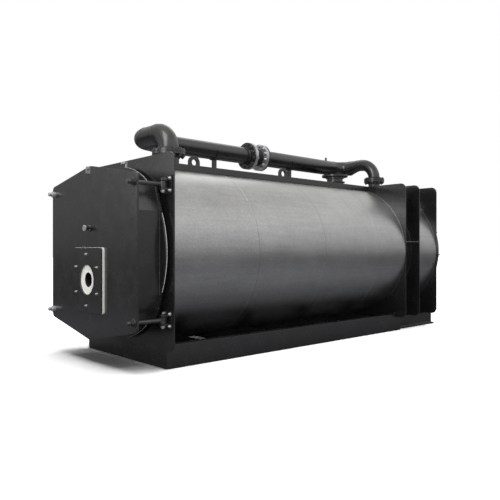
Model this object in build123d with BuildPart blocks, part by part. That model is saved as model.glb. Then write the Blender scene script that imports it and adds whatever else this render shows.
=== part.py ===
"""Packaged hot water boiler with an economizer behind it, on a skid base.

Millimetres, +Z up. The burner door faces -Y, the flue leaves at +Y, and the origin is on
the floor under the middle of the whole unit. Right and left are as seen from the front.
"""
from math import ceil, sqrt
import os

from build123d import *

# Barrel, insulation and cladding
cladding_radius = 889
cladding_thickness = 3
cladding_sheet_length = 1041
insulation_thickness = 84
shell_wall = 16
layer_clearance = 0.3
plate_ground_gap = 175
plate_lip = 2
shell_radius = cladding_radius - cladding_thickness - insulation_thickness
axis_height = cladding_radius + plate_lip + plate_ground_gap

# Casing plates
plate_margin = 3
plate_top_margin = 25
plate_corner = 80
plate_thickness = 12
boiler_rear_at = 3730
smoke_box_gap = 336
economizer_pitch = 450
plate_half_width = cladding_radius + plate_margin
plate_top = axis_height + cladding_radius + plate_top_margin
plate_bottom = plate_ground_gap
economizer_front_at = boiler_rear_at + smoke_box_gap
economizer_rear_at = economizer_front_at + economizer_pitch

# Skid base
base_inset = 124
base_height = 221
base_web = 12
base_flange_width = 90
base_flange_thickness = 14
base_tail = 53
towing_eye_back = 100
towing_eye_height = 204
towing_eye_radius = 44
towing_eye_hole = 18
saddle_count = 4
saddle_thickness = 16
saddle_drop = 6
seat_clearance = 0.3
base_half_width = plate_half_width - base_inset
base_length = boiler_rear_at + base_tail
rail_gap_half = base_half_width - base_flange_width
saddle_height = base_height - saddle_drop

# Frame under the economizer
rear_frame_inset = 170
rear_frame_tail = 234
rear_rail_flange = 100
rear_rail_web = 10
rear_rail_thickness = 22
rear_beam_width = 80
frame_joint_gap = 7
rear_frame_half_width = plate_half_width - rear_frame_inset
rear_frame_length = economizer_rear_at + rear_frame_tail - base_length - frame_joint_gap

# Front tube plate, furnace and smoke tubes
collar_inset = 199
collar_wall = 60
collar_length = 40
tube_plate_thickness = 22
burner_drop = 263
furnace_radius = 360
furnace_wall = 16
furnace_rear_gap = 480
smoke_tube_radius = 35
smoke_tube_wall = 4
smoke_tube_rear_gap = 118
smoke_tube_fan = 156
inner_tube_row_radius = 450
inner_tube_row_count = 10
outer_tube_row_radius = 560
outer_tube_row_count = 13
collar_inner_radius = cladding_radius - collar_inset
collar_outer_radius = collar_inner_radius + collar_wall
burner_height = axis_height - burner_drop
furnace_length = boiler_rear_at - furnace_rear_gap
smoke_tube_length = boiler_rear_at - plate_thickness - smoke_tube_rear_gap

# Smoke box, economizer and flue
smoke_box_inset = 119
smoke_box_wall = 8
gas_passage_ledge = 70
tie_bar_radius = 11
tie_bar_inset = 23
tie_bar_rise = 127
rear_cover_inset = 9
rear_cover_depth = 92
rear_cover_wall = 8
flue_radius = 250
flue_wall = 6
flue_reach = 150
flue_flange_width = 50
flue_flange_thickness = 12
flue_bolt_count = 12
flue_bolt_radius = 7
smoke_box_radius = cladding_radius - smoke_box_inset
gas_passage_radius = smoke_box_radius - gas_passage_ledge
rear_cover_radius = cladding_radius - rear_cover_inset
flue_flange_radius = flue_radius + flue_flange_width
flue_bolt_circle = flue_radius + flue_flange_width / 2

# Walkway deck on top of the barrel
deck_half_width = 283
deck_thickness = 8

# Flanges: outer radius, thickness, hub, bolts, bolt hole radius and the bolts' distance from the rim
pipe_radius = 109.5
pipe_wall = 6.3
flange_radius = 180
flange_thickness = 26
hub_wall = 16
hub_reach = 22
bolt_edge = 25
bolt_count = 12
bolt_hole_radius = 13
small_pipe_radius = 84.2
small_flange_radius = 150
small_bolt_count = 8
gasket_gap = 2
bolt_circle_radius = flange_radius - bolt_edge
small_bolt_circle_radius = small_flange_radius - bolt_edge

# Nozzles and connecting pipe
return_nozzle_at = 552
flow_nozzle_back = 388
economizer_nozzle_in = 209
nozzle_rise = 150
nozzle_clearance = 8
neck_collar_wall = 30
neck_collar_thickness = 14
neck_collar_rise = 44
pipe_inset = 239
pipe_rise = 233
bend_radius = 203
small_bend_radius = 229
reducer_length = 152
pipe_stub_back = 354
pipe_stub_radius = 15
pipe_stub_height = 45
flow_nozzle_at = boiler_rear_at - flow_nozzle_back
economizer_nozzle_at = economizer_front_at + economizer_nozzle_in
nozzle_face_height = plate_top + nozzle_rise
pipe_x = pipe_inset - cladding_radius
pipe_height = nozzle_face_height + pipe_rise

# Expansion joint in the connecting pipe
joint_front_at = 2275
joint_length = 240
joint_ring_thickness = 44
bellows_neck_radius = 112
bellows_crest_radius = 134
bellows_bore_radius = 104

# Pipe supports on the barrel and lifting lugs on the deck
support_positions = (1694, 3095)
support_width = 46
support_foot_width = 120
support_foot_thickness = 12
cradle_wall = 10
cradle_width = 64
lug_positions = (885, 2299)
lug_radius = 75
lug_hole_radius = 36
lug_thickness = 24
lug_eye_height = 80
lug_foot_length = 190
lug_foot_thickness = 14

# Clip at the top of the front plate
clip_x = 42
clip_width = 88
clip_height = 28
clip_depth = 24
clip_drop = 18
clip_hook_width = 30
clip_hook_height = 52
clip_hook_thickness = 10

# Burner door
door_gap = 0.3
ring_inset = 41
ring_thickness = 19.7
ring_margin = 10
casing_inset = 89
casing_shoulder_inset = 82
casing_shoulder_drop = 230
casing_peak_drop = 113
casing_wall = 10
casing_depth = 280
cover_thickness = 20
cover_inset = 29
cover_side_top_inset = 199
cover_side_bottom_inset = 204
cover_peak_top_inset = 52
cover_peak_bottom_inset = 42
cover_corner = 50
cover_peak_round = 260
cover_eye_height = 68
cover_eye_reach = 42
cover_eye_thickness = 12
cover_eye_hole = 11
cover_eye_drop = 10
lining_gap = 10
lining_reach = 30
burner_plate_width = 582
burner_plate_height = 618
burner_plate_corner = 24
burner_plate_depth = 14
burner_plate_chamfer = 2.8
burner_gasket_depth = 22
burner_gasket_margin = 2
burner_bore_radius = 143
burner_stud_circle = 248
burner_stud_count = 6
burner_stud_radius = 9
throat_radius = 67
throat_recess = 20
throat_round = 6
sight_rise = 189
sight_radius = 21
sight_flange_radius = 34
sight_flange_thickness = 10
sight_bore_radius = 12
sight_reach = 62
sight_rim_width = 6
sight_rim_round = 3
ring_radius = cladding_radius - ring_inset
casing_half_width = ring_radius - casing_inset
casing_shoulder_rise = ring_radius - casing_shoulder_drop
casing_peak_rise = ring_radius - casing_peak_drop
cover_half_width = plate_half_width - cover_inset
cover_side_top = axis_height + cladding_radius - cover_side_top_inset
cover_side_bottom = axis_height - cladding_radius + cover_side_bottom_inset
cover_peak_top = axis_height + cladding_radius - cover_peak_top_inset
cover_peak_bottom = axis_height - cladding_radius + cover_peak_bottom_inset
lining_radius = collar_inner_radius - lining_gap
sight_height = burner_height + burner_plate_height / 2 + sight_rise

# Tie rods and their brackets: the right-hand rods turn on the hinge pins
rod_inset = 85
rod_bottom_inset = 284
rod_top_inset = 276
rod_radius = 19.5
rod_reach = 67
rod_nut_size = 32
rod_nut_thickness = 30
rod_eye_radius = 34
rod_eye_length = 52
rod_hole_clearance = 1
pin_radius = 14
pin_clearance = 0.5
pin_head_radius = 22
pin_head = 10
hinge_offset = 60
ear_thickness = 16
ear_clearance = 5.3
bracket_height = 170
bracket_width = 124
bracket_plate = 14
rod_x = plate_half_width - rod_inset
rod_bottom_height = axis_height - cladding_radius + rod_bottom_inset
rod_top_height = axis_height + cladding_radius - rod_top_inset
rod_heights = (rod_bottom_height, rod_top_height)

# Places along Y that follow from the sizes above
cover_reach = collar_length + door_gap + ring_thickness + casing_depth + cover_thickness
front_reach = cover_reach + rod_reach
rear_reach = economizer_rear_at + plate_thickness + rear_cover_depth + flue_reach
front_y = (front_reach - rear_reach) / 2
barrel_front_y = front_y + plate_thickness
boiler_rear_y = front_y + boiler_rear_at
economizer_front_y = front_y + economizer_front_at
economizer_rear_y = front_y + economizer_rear_at
base_rear_y = front_y + base_length
rear_cover_y = economizer_rear_y + plate_thickness
rear_frame_height = plate_bottom
ring_back_y = front_y - collar_length - door_gap
ring_front_y = ring_back_y - ring_thickness
casing_front_y = ring_front_y - casing_depth
cover_front_y = front_y - cover_reach
burner_plate_y = cover_front_y - burner_gasket_depth
burner_face_y = burner_plate_y - burner_plate_depth
hinge_y = front_y - hinge_offset
return_y = front_y + return_nozzle_at
flow_y = front_y + flow_nozzle_at
economizer_nozzle_y = front_y + economizer_nozzle_at
joint_front_y = front_y + joint_front_at
sides = {"right": 1, "left": -1}
quarter_turn = 90
full_turn = 360

os.makedirs("parts", exist_ok=True)


def save(piece, name):
    """Label a finished piece and write it as its own STEP file."""
    piece.part.label = name
    export_step(piece.part, f"parts/{name}.step")


def facing_front(y, x=0, z=0):
    """A plane at Y = y that faces the front: its X runs right and its Y runs up."""
    return Plane(origin=(x, y, z), x_dir=(1, 0, 0), z_dir=(0, -1, 0))


def facing_rear(y, x=0, z=0):
    """A plane at Y = y that faces the rear: its X runs left and its Y runs up."""
    return Plane(origin=(x, y, z), x_dir=(-1, 0, 0), z_dir=(0, 1, 0))


def ring(outer, inner):
    """A flat ring in the sketch that is open."""
    Circle(outer)
    Circle(inner, mode=Mode.SUBTRACT)


# Skid base: two channels with a beam across each end
for side_name, side in sides.items():
    with BuildPart() as base_rail:
        with BuildSketch(facing_front(base_rear_y - base_web)):
            web_x = side * (base_half_width - base_web / 2)
            flange_x = side * (base_half_width - base_flange_width / 2)
            flange_middle = base_height / 2 - base_flange_thickness / 2
            with Locations((web_x, base_height / 2)):
                Rectangle(base_web, base_height)
            with Locations((flange_x, base_height / 2)), GridLocations(1, 2 * flange_middle, 1, 2):
                Rectangle(base_flange_width, base_flange_thickness)
        extrude(amount=base_length - plate_thickness - 2 * base_web)
        eye_plane = Plane(origin=(side * base_half_width, base_rear_y - towing_eye_back, towing_eye_height),
                          x_dir=(0, side, 0), z_dir=(side, 0, 0))
        with BuildSketch(eye_plane):
            Circle(towing_eye_radius)
        extrude(amount=-base_web)
        with BuildSketch(eye_plane):
            Circle(towing_eye_hole)
        extrude(amount=-base_web, mode=Mode.SUBTRACT)
    save(base_rail, f"base_rail_{side_name}")

end_beam_places = ((barrel_front_y, cladding_radius), (base_rear_y - base_web, smoke_box_radius))
with BuildPart() as base_end_beams:
    for beam_y, round_radius in end_beam_places:
        with BuildSketch(facing_rear(beam_y)):
            with Locations((0, base_height / 2)):
                Rectangle(2 * base_half_width, base_height)
            with Locations((0, axis_height)):
                Circle(round_radius + seat_clearance, mode=Mode.SUBTRACT)
        extrude(amount=base_web)
save(base_end_beams, "base_end_beams")

# Saddles between the rails, cut to the round of the barrel
saddle_step = (boiler_rear_at - plate_thickness) / saddle_count
with BuildPart() as saddles:
    for index in range(saddle_count):
        with BuildSketch(facing_front(barrel_front_y + saddle_step * (index + 0.5))):
            Rectangle(2 * rail_gap_half, saddle_height, align=(Align.CENTER, Align.MIN))
            with Locations((0, axis_height)):
                Circle(cladding_radius + seat_clearance, mode=Mode.SUBTRACT)
        extrude(amount=saddle_thickness / 2, both=True)
save(saddles, "saddles")

# Frame under the economizer: two rails with a beam across each end
rear_frame_y = base_rear_y + frame_joint_gap
rear_rail_x = rear_frame_half_width - rear_rail_flange / 2
with BuildPart() as rear_frame:
    with BuildSketch(facing_rear(rear_frame_y)):
        for side in sides.values():
            with Locations((side * rear_rail_x, rear_frame_height / 2)):
                Rectangle(rear_rail_web, rear_frame_height)
            for flange_z in (rear_rail_thickness / 2, rear_frame_height - rear_rail_thickness / 2):
                with Locations((side * rear_rail_x, flange_z)):
                    Rectangle(rear_rail_flange, rear_rail_thickness)
    extrude(amount=rear_frame_length)
    beam_middle = rear_frame_length - rear_beam_width
    with Locations((0, rear_frame_y + rear_frame_length / 2, rear_rail_thickness)):
        with GridLocations(1, beam_middle, 1, 2):
            Box(2 * rear_rail_x, rear_beam_width, rear_frame_height - 2 * rear_rail_thickness,
                align=(Align.CENTER, Align.CENTER, Align.MIN))
    with BuildSketch(facing_rear(rear_frame_y, z=axis_height)):
        Circle(smoke_box_radius + seat_clearance)
    extrude(amount=economizer_front_y - rear_frame_y, mode=Mode.SUBTRACT)
save(rear_frame, "rear_frame")


# Casing plates, with the round passage for gas or door through each
def casing_outline(opening):
    """The outline of a casing plate with round corners, in the sketch that is open."""
    with Locations((0, (plate_top + plate_bottom) / 2)):
        RectangleRounded(2 * plate_half_width, plate_top - plate_bottom, plate_corner)
    with Locations((0, axis_height)):
        Circle(opening, mode=Mode.SUBTRACT)


plate_places = {"front_plate": (front_y, collar_inner_radius),
                "boiler_rear_plate": (boiler_rear_y, gas_passage_radius),
                "economizer_front_plate": (economizer_front_y, gas_passage_radius),
                "economizer_rear_plate": (economizer_rear_y, gas_passage_radius)}
rail_middle_x = base_half_width - base_flange_width / 2
for plate_name, (plate_y, plate_opening) in plate_places.items():
    with BuildPart() as plate:
        with BuildSketch(facing_rear(plate_y)):
            casing_outline(plate_opening)
            if barrel_front_y < plate_y < base_rear_y:
                with GridLocations(2 * rail_middle_x, 1, 2, 1):
                    Rectangle(base_flange_width + 2 * seat_clearance, 2 * (base_height + seat_clearance),
                              mode=Mode.SUBTRACT)
        extrude(amount=plate_thickness)
    save(plate, plate_name)

# Barrel: shell, insulation and cladding sheets, cut where the nozzles come through
barrel_length = boiler_rear_y - barrel_front_y
cladding_bore = cladding_radius - cladding_thickness
nozzle_places = [(0, return_y, axis_height), (0, flow_y, axis_height)]


def nozzle_holes():
    """Clear the two nozzle necks out of the part that is open."""
    with Locations(*nozzle_places):
        Cylinder(pipe_radius + nozzle_clearance, plate_top, align=(Align.CENTER, Align.CENTER, Align.MIN),
                 mode=Mode.SUBTRACT)


with BuildPart() as shell_barrel:
    with BuildSketch(facing_rear(barrel_front_y, z=axis_height)):
        ring(shell_radius, shell_radius - shell_wall)
    extrude(amount=barrel_length)
save(shell_barrel, "shell_barrel")

with BuildPart() as insulation:
    with BuildSketch(facing_rear(barrel_front_y, z=axis_height)):
        ring(cladding_bore - layer_clearance, shell_radius + layer_clearance)
    extrude(amount=barrel_length)
    nozzle_holes()
save(insulation, "insulation")

sheet_count = ceil(barrel_length / cladding_sheet_length)
for index in range(sheet_count):
    sheet_y = barrel_front_y + index * cladding_sheet_length
    with BuildPart() as cladding_sheet:
        with BuildSketch(facing_rear(sheet_y, z=axis_height)):
            ring(cladding_radius, cladding_bore)
        extrude(amount=min(cladding_sheet_length, boiler_rear_y - sheet_y))
        nozzle_holes()
    save(cladding_sheet, f"cladding_sheet_{index + 1}")

# Fixed collar that the door closes on, and the tube plate behind it
with BuildPart() as front_collar:
    with BuildSketch(facing_front(front_y, z=axis_height)):
        ring(collar_outer_radius, collar_inner_radius)
    extrude(amount=collar_length)
save(front_collar, "front_collar")

burner_offset = burner_height - axis_height
tube_places = []
for row_radius, row_count in ((inner_tube_row_radius, inner_tube_row_count),
                              (outer_tube_row_radius, outer_tube_row_count)):
    with PolarLocations(row_radius, row_count, start_angle=quarter_turn - smoke_tube_fan / 2,
                        angular_range=smoke_tube_fan, endpoint=True) as row:
        tube_places += [(place.position.X, place.position.Y + burner_offset) for place in row.locations]

with BuildPart() as front_tube_plate:
    with BuildSketch(facing_front(barrel_front_y + tube_plate_thickness, z=axis_height)):
        Circle(shell_radius - shell_wall - layer_clearance)
        with Locations((0, burner_offset)):
            Circle(furnace_radius - furnace_wall, mode=Mode.SUBTRACT)
        with Locations(*tube_places):
            Circle(smoke_tube_radius - smoke_tube_wall, mode=Mode.SUBTRACT)
    extrude(amount=tube_plate_thickness)
save(front_tube_plate, "front_tube_plate")

with BuildPart() as furnace_tube:
    with BuildSketch(facing_rear(barrel_front_y + tube_plate_thickness, z=burner_height)):
        ring(furnace_radius, furnace_radius - furnace_wall)
    extrude(amount=furnace_length)
    with BuildSketch(facing_rear(barrel_front_y + tube_plate_thickness + furnace_length, z=burner_height)):
        Circle(furnace_radius)
    extrude(amount=furnace_wall)
save(furnace_tube, "furnace_tube")

with BuildPart() as smoke_tubes:
    with BuildSketch(facing_front(barrel_front_y + tube_plate_thickness, z=axis_height)):
        with Locations(*tube_places):
            Circle(smoke_tube_radius)
            Circle(smoke_tube_radius - smoke_tube_wall, mode=Mode.SUBTRACT)
    extrude(amount=-smoke_tube_length)
save(smoke_tubes, "smoke_tubes")

# Smoke box between boiler and economizer, the economizer barrel and its rear cover
smoke_box_y = boiler_rear_y + plate_thickness
with BuildPart() as smoke_box:
    with BuildSketch(facing_rear(smoke_box_y, z=axis_height)):
        ring(smoke_box_radius, smoke_box_radius - smoke_box_wall)
    extrude(amount=economizer_front_y - smoke_box_y)
save(smoke_box, "smoke_box")

with BuildPart() as tie_bars:
    for side in sides.values():
        with BuildSketch(facing_rear(smoke_box_y, side * (plate_half_width - tie_bar_inset),
                                     axis_height + tie_bar_rise)):
            Circle(tie_bar_radius)
        extrude(amount=economizer_front_y - smoke_box_y)
save(tie_bars, "tie_bars")

economizer_y = economizer_front_y + plate_thickness
economizer_length = economizer_rear_y - economizer_y
with BuildPart() as economizer_barrel:
    with BuildSketch(facing_rear(economizer_y, z=axis_height)):
        Circle(cladding_bore - layer_clearance)
    extrude(amount=economizer_length)
save(economizer_barrel, "economizer_barrel")

with BuildPart() as economizer_cladding:
    with BuildSketch(facing_rear(economizer_y, z=axis_height)):
        ring(cladding_radius, cladding_bore)
    extrude(amount=economizer_length)
save(economizer_cladding, "economizer_cladding")

with BuildPart() as rear_cover:
    with BuildSketch(facing_rear(rear_cover_y, z=axis_height)):
        Circle(rear_cover_radius)
    extrude(amount=rear_cover_depth)
    offset(amount=-rear_cover_wall, openings=rear_cover.faces().sort_by(Axis.Y)[0])
    with BuildSketch(facing_rear(rear_cover_y, z=axis_height)):
        Circle(flue_radius - flue_wall)
    extrude(amount=rear_cover_depth, mode=Mode.SUBTRACT)
    fillet(rear_cover.faces().sort_by(Axis.Y)[-1].outer_wire().edges(), radius=2 * rear_cover_wall)
save(rear_cover, "rear_cover")

flue_y = rear_cover_y + rear_cover_depth
with BuildPart() as flue_spigot:
    with BuildSketch(facing_rear(flue_y, z=axis_height)):
        ring(flue_radius, flue_radius - flue_wall)
    extrude(amount=flue_reach)
    with BuildSketch(facing_front(flue_y + flue_reach, z=axis_height)):
        ring(flue_flange_radius, flue_radius - flue_wall)
        with PolarLocations(flue_bolt_circle, flue_bolt_count):
            Circle(flue_bolt_radius, mode=Mode.SUBTRACT)
    extrude(amount=flue_flange_thickness)
save(flue_spigot, "flue_spigot")

# Walkway deck: a folded plate whose edges rest on the cladding
deck_seat = axis_height + sqrt(cladding_radius**2 - (deck_half_width - deck_thickness)**2) + seat_clearance
with BuildPart() as walkway_deck:
    with BuildSketch(facing_rear(barrel_front_y)):
        with Locations((0, plate_top)):
            Rectangle(2 * deck_half_width, plate_top - deck_seat, align=(Align.CENTER, Align.MAX))
        with Locations((0, plate_top - deck_thickness)):
            Rectangle(2 * (deck_half_width - deck_thickness), plate_top, align=(Align.CENTER, Align.MAX),
                      mode=Mode.SUBTRACT)
    extrude(amount=barrel_length)
    nozzle_holes()
save(walkway_deck, "walkway_deck")

with BuildPart() as lifting_lugs:
    for lug_at in lug_positions:
        lug_plane = Plane(origin=(0, front_y + lug_at, plate_top), x_dir=(0, 1, 0), z_dir=(1, 0, 0))
        with BuildSketch(lug_plane):
            with Locations((0, lug_eye_height)):
                Circle(lug_radius)
            Rectangle(2 * lug_radius, lug_eye_height, align=(Align.CENTER, Align.MIN))
            Rectangle(lug_foot_length, lug_foot_thickness, align=(Align.CENTER, Align.MIN))
            with Locations((0, lug_eye_height)):
                Circle(lug_hole_radius, mode=Mode.SUBTRACT)
        extrude(amount=lug_thickness / 2, both=True)
save(lifting_lugs, "lifting_lugs")


def floor_plane(x, y, z):
    """A level plane at a point, looking up."""
    return Plane(origin=(x, y, z))


def drilled_flange(outer, bore, circle, count):
    """The outline of a round flange with its bolt holes, in the sketch that is open."""
    ring(outer, bore)
    with PolarLocations(circle, count, start_angle=full_turn / count / 2):
        Circle(bolt_hole_radius, mode=Mode.SUBTRACT)


# Nozzles on the centre line: each neck is cut to the round that it stands on
pipe_bore = pipe_radius - pipe_wall
small_pipe_bore = small_pipe_radius - pipe_wall
large_bolting = (flange_radius, pipe_bore, bolt_circle_radius, bolt_count)
small_bolting = (small_flange_radius, small_pipe_bore, small_bolt_circle_radius, small_bolt_count)
nozzle_table = {"return_nozzle": (return_y, pipe_radius, large_bolting, shell_radius),
                "flow_nozzle": (flow_y, pipe_radius, large_bolting, shell_radius),
                "economizer_nozzle": (economizer_nozzle_y, small_pipe_radius, small_bolting, cladding_radius)}
for nozzle_name, (nozzle_y, neck_radius, bolting, seat_radius) in nozzle_table.items():
    with BuildPart() as nozzle:
        with BuildSketch(floor_plane(0, nozzle_y, axis_height)):
            ring(neck_radius, neck_radius - pipe_wall)
        extrude(amount=nozzle_face_height - axis_height)
        with BuildSketch(floor_plane(0, nozzle_y, nozzle_face_height)):
            drilled_flange(*bolting)
        extrude(amount=-flange_thickness)
        with BuildSketch(floor_plane(0, nozzle_y, nozzle_face_height)):
            ring(neck_radius + hub_wall, neck_radius - pipe_wall)
        extrude(amount=-flange_thickness - hub_reach)
        if nozzle_name == "flow_nozzle":
            with BuildSketch(floor_plane(0, nozzle_y, plate_top + neck_collar_rise)):
                ring(neck_radius + neck_collar_wall, neck_radius - pipe_wall)
            extrude(amount=neck_collar_thickness)
        with BuildSketch(facing_rear(nozzle_y - seat_radius, z=axis_height)):
            Circle(seat_radius + layer_clearance)
        extrude(amount=2 * seat_radius, mode=Mode.SUBTRACT)
    save(nozzle, nozzle_name)

# Connecting pipe: risers with their bends, and the run between them
upper_face = nozzle_face_height + gasket_gap
bend_x = pipe_x + bend_radius
with BuildPart() as front_riser:
    with BuildLine(facing_front(return_y)) as riser_path:
        rise = Line((0, upper_face), (0, pipe_height - bend_radius))
        top_bend = JernArc(rise @ 1, rise % 1, bend_radius, quarter_turn)
        Line(top_bend @ 1, (bend_x, pipe_height))
    with BuildSketch(floor_plane(0, return_y, upper_face)):
        ring(pipe_radius, pipe_radius - pipe_wall)
    sweep(path=riser_path.line)
    with BuildLine(floor_plane(0, 0, pipe_height)) as side_path:
        JernArc((bend_x, return_y), (-1, 0), bend_radius, -quarter_turn)
    with BuildSketch(Plane(origin=(bend_x, return_y, pipe_height), z_dir=(-1, 0, 0))):
        ring(pipe_radius, pipe_radius - pipe_wall)
    sweep(path=side_path.line)
    with BuildSketch(floor_plane(0, return_y, upper_face)):
        drilled_flange(*large_bolting)
    extrude(amount=flange_thickness)
    with BuildSketch(floor_plane(0, return_y, upper_face)):
        ring(pipe_radius + hub_wall, pipe_radius - pipe_wall / 2)
    extrude(amount=flange_thickness + hub_reach)
save(front_riser, "front_riser")

# The rear riser is a size smaller, behind a reducer that is flat on top
reducer_rise = pipe_radius - small_pipe_radius
small_height = pipe_height + reducer_rise
reducer_end_x = bend_x + reducer_length
with BuildPart() as rear_riser:
    with BuildLine(facing_front(economizer_nozzle_y)) as small_path:
        small_rise = Line((0, upper_face), (0, small_height - small_bend_radius))
        small_bend = JernArc(small_rise @ 1, small_rise % 1, small_bend_radius, quarter_turn)
        Line(small_bend @ 1, (reducer_end_x, small_height))
    with BuildSketch(floor_plane(0, economizer_nozzle_y, upper_face)):
        ring(small_pipe_radius, small_pipe_radius - pipe_wall)
    sweep(path=small_path.line)
    for wall, mode in ((0, Mode.ADD), (pipe_wall, Mode.SUBTRACT)):
        with BuildSketch(Plane(origin=(bend_x, economizer_nozzle_y, pipe_height), z_dir=(1, 0, 0))):
            Circle(pipe_radius - wall)
        with BuildSketch(Plane(origin=(reducer_end_x, economizer_nozzle_y, small_height), z_dir=(1, 0, 0))):
            Circle(small_pipe_radius - wall)
        loft(mode=mode)
    with BuildLine(floor_plane(0, 0, pipe_height)) as rear_side_path:
        JernArc((bend_x, economizer_nozzle_y), (-1, 0), bend_radius, quarter_turn)
    with BuildSketch(Plane(origin=(bend_x, economizer_nozzle_y, pipe_height), z_dir=(-1, 0, 0))):
        ring(pipe_radius, pipe_radius - pipe_wall)
    sweep(path=rear_side_path.line)
    with BuildSketch(floor_plane(0, economizer_nozzle_y, upper_face)):
        drilled_flange(*small_bolting)
    extrude(amount=flange_thickness)
    with BuildSketch(floor_plane(0, economizer_nozzle_y, upper_face)):
        ring(small_pipe_radius + hub_wall, small_pipe_radius - pipe_wall / 2)
    extrude(amount=flange_thickness + hub_reach)
save(rear_riser, "rear_riser")

# Each pipe length ends in a flange at the expansion joint
pipe_start_y = return_y + bend_radius
pipe_end_y = economizer_nozzle_y - bend_radius
joint_rear_y = joint_front_y + joint_length
stub_y = economizer_nozzle_y - pipe_stub_back
with BuildPart() as pipe_front:
    with BuildSketch(facing_front(joint_front_y, pipe_x, pipe_height)):
        ring(pipe_radius, pipe_radius - pipe_wall)
    extrude(amount=joint_front_y - pipe_start_y)
    with BuildSketch(facing_front(joint_front_y, pipe_x, pipe_height)):
        drilled_flange(*large_bolting)
    extrude(amount=flange_thickness)
    with BuildSketch(facing_front(joint_front_y, pipe_x, pipe_height)):
        ring(pipe_radius + hub_wall, pipe_radius - pipe_wall / 2)
    extrude(amount=flange_thickness + hub_reach)
save(pipe_front, "pipe_front")

with BuildPart() as pipe_rear:
    with BuildSketch(facing_rear(joint_rear_y, pipe_x, pipe_height)):
        ring(pipe_radius, pipe_radius - pipe_wall)
    extrude(amount=pipe_end_y - joint_rear_y)
    with BuildSketch(facing_rear(joint_rear_y, pipe_x, pipe_height)):
        drilled_flange(*large_bolting)
    extrude(amount=flange_thickness)
    with BuildSketch(facing_rear(joint_rear_y, pipe_x, pipe_height)):
        ring(pipe_radius + hub_wall, pipe_radius - pipe_wall / 2)
    extrude(amount=flange_thickness + hub_reach)
    with BuildSketch(floor_plane(pipe_x, stub_y, pipe_height + pipe_radius - pipe_wall / 2)):
        Circle(pipe_stub_radius)
    extrude(amount=pipe_stub_height + pipe_wall / 2)
save(pipe_rear, "pipe_rear")

bellows_y = joint_front_y + joint_ring_thickness
bellows_length = joint_length - 2 * joint_ring_thickness
with BuildPart() as joint_rings:
    for ring_y in (joint_front_y, joint_rear_y - joint_ring_thickness):
        with BuildSketch(facing_front(ring_y, pipe_x, pipe_height)):
            drilled_flange(*large_bolting)
        extrude(amount=-joint_ring_thickness)
save(joint_rings, "joint_rings")

with BuildPart() as joint_bellows:
    with BuildSketch(Plane(origin=(pipe_x, bellows_y, pipe_height), x_dir=(0, 1, 0), z_dir=(-1, 0, 0))):
        with BuildLine():
            foot = Line((0, bellows_bore_radius), (0, bellows_neck_radius))
            crest_points = (foot @ 1, (bellows_length / 2, bellows_crest_radius),
                            (bellows_length, bellows_neck_radius))
            crest = Spline(*crest_points, tangents=((1, 0), (1, 0)))
            end = Line(crest @ 1, (bellows_length, bellows_bore_radius))
            Line(end @ 1, foot @ 0)
        make_face()
    revolve(axis=Axis((pipe_x, 0, pipe_height), (0, 1, 0)))
save(joint_bellows, "joint_bellows")

# Supports: a post on the barrel with a cradle under the pipe
cradle_radius = pipe_radius + seat_clearance
with BuildPart() as pipe_supports:
    for support_at in support_positions:
        support_y = front_y + support_at
        with Locations((pipe_x, support_y, axis_height)):
            Box(support_width, support_width, pipe_height - pipe_radius - axis_height,
                align=(Align.CENTER, Align.CENTER, Align.MIN))
        with BuildSketch(facing_rear(support_y - support_foot_width / 2, z=axis_height)):
            Circle(cladding_radius + seat_clearance + support_foot_thickness)
            with Locations((-pipe_x, 0)):
                Rectangle(support_foot_width, 2 * cladding_radius, mode=Mode.INTERSECT)
            Rectangle(2 * cladding_radius, cladding_radius, align=(Align.CENTER, Align.MAX),
                      mode=Mode.SUBTRACT)
        extrude(amount=support_foot_width)
        with BuildSketch(facing_rear(support_y - cradle_width / 2, pipe_x, pipe_height)):
            Circle(cradle_radius + cradle_wall)
            Rectangle(2 * flange_radius, flange_radius, align=(Align.CENTER, Align.MIN), mode=Mode.SUBTRACT)
        extrude(amount=cradle_width)
        with BuildSketch(facing_rear(support_y - support_foot_width, z=axis_height)):
            Circle(cladding_radius + seat_clearance)
            with Locations((-pipe_x, pipe_height - axis_height)):
                Circle(cradle_radius)
        extrude(amount=2 * support_foot_width, mode=Mode.SUBTRACT)
save(pipe_supports, "pipe_supports")

# Clip at the top of the front plate, with a hook below it
with BuildPart() as top_clip:
    with Locations((clip_x, front_y, plate_top - clip_drop)):
        Box(clip_width, clip_depth, clip_height, align=(Align.CENTER, Align.MAX, Align.CENTER))
    with Locations((clip_x + clip_width / 2, front_y, plate_top - clip_drop + clip_height / 2)):
        Box(clip_hook_width, clip_hook_thickness, clip_height + clip_hook_height,
            align=(Align.MAX, Align.MAX, Align.MAX))
    fillet(top_clip.edges().filter_by(Axis.X).group_by(Axis.Y)[0], radius=clip_hook_thickness / 2)
save(top_clip, "top_clip")

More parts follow.
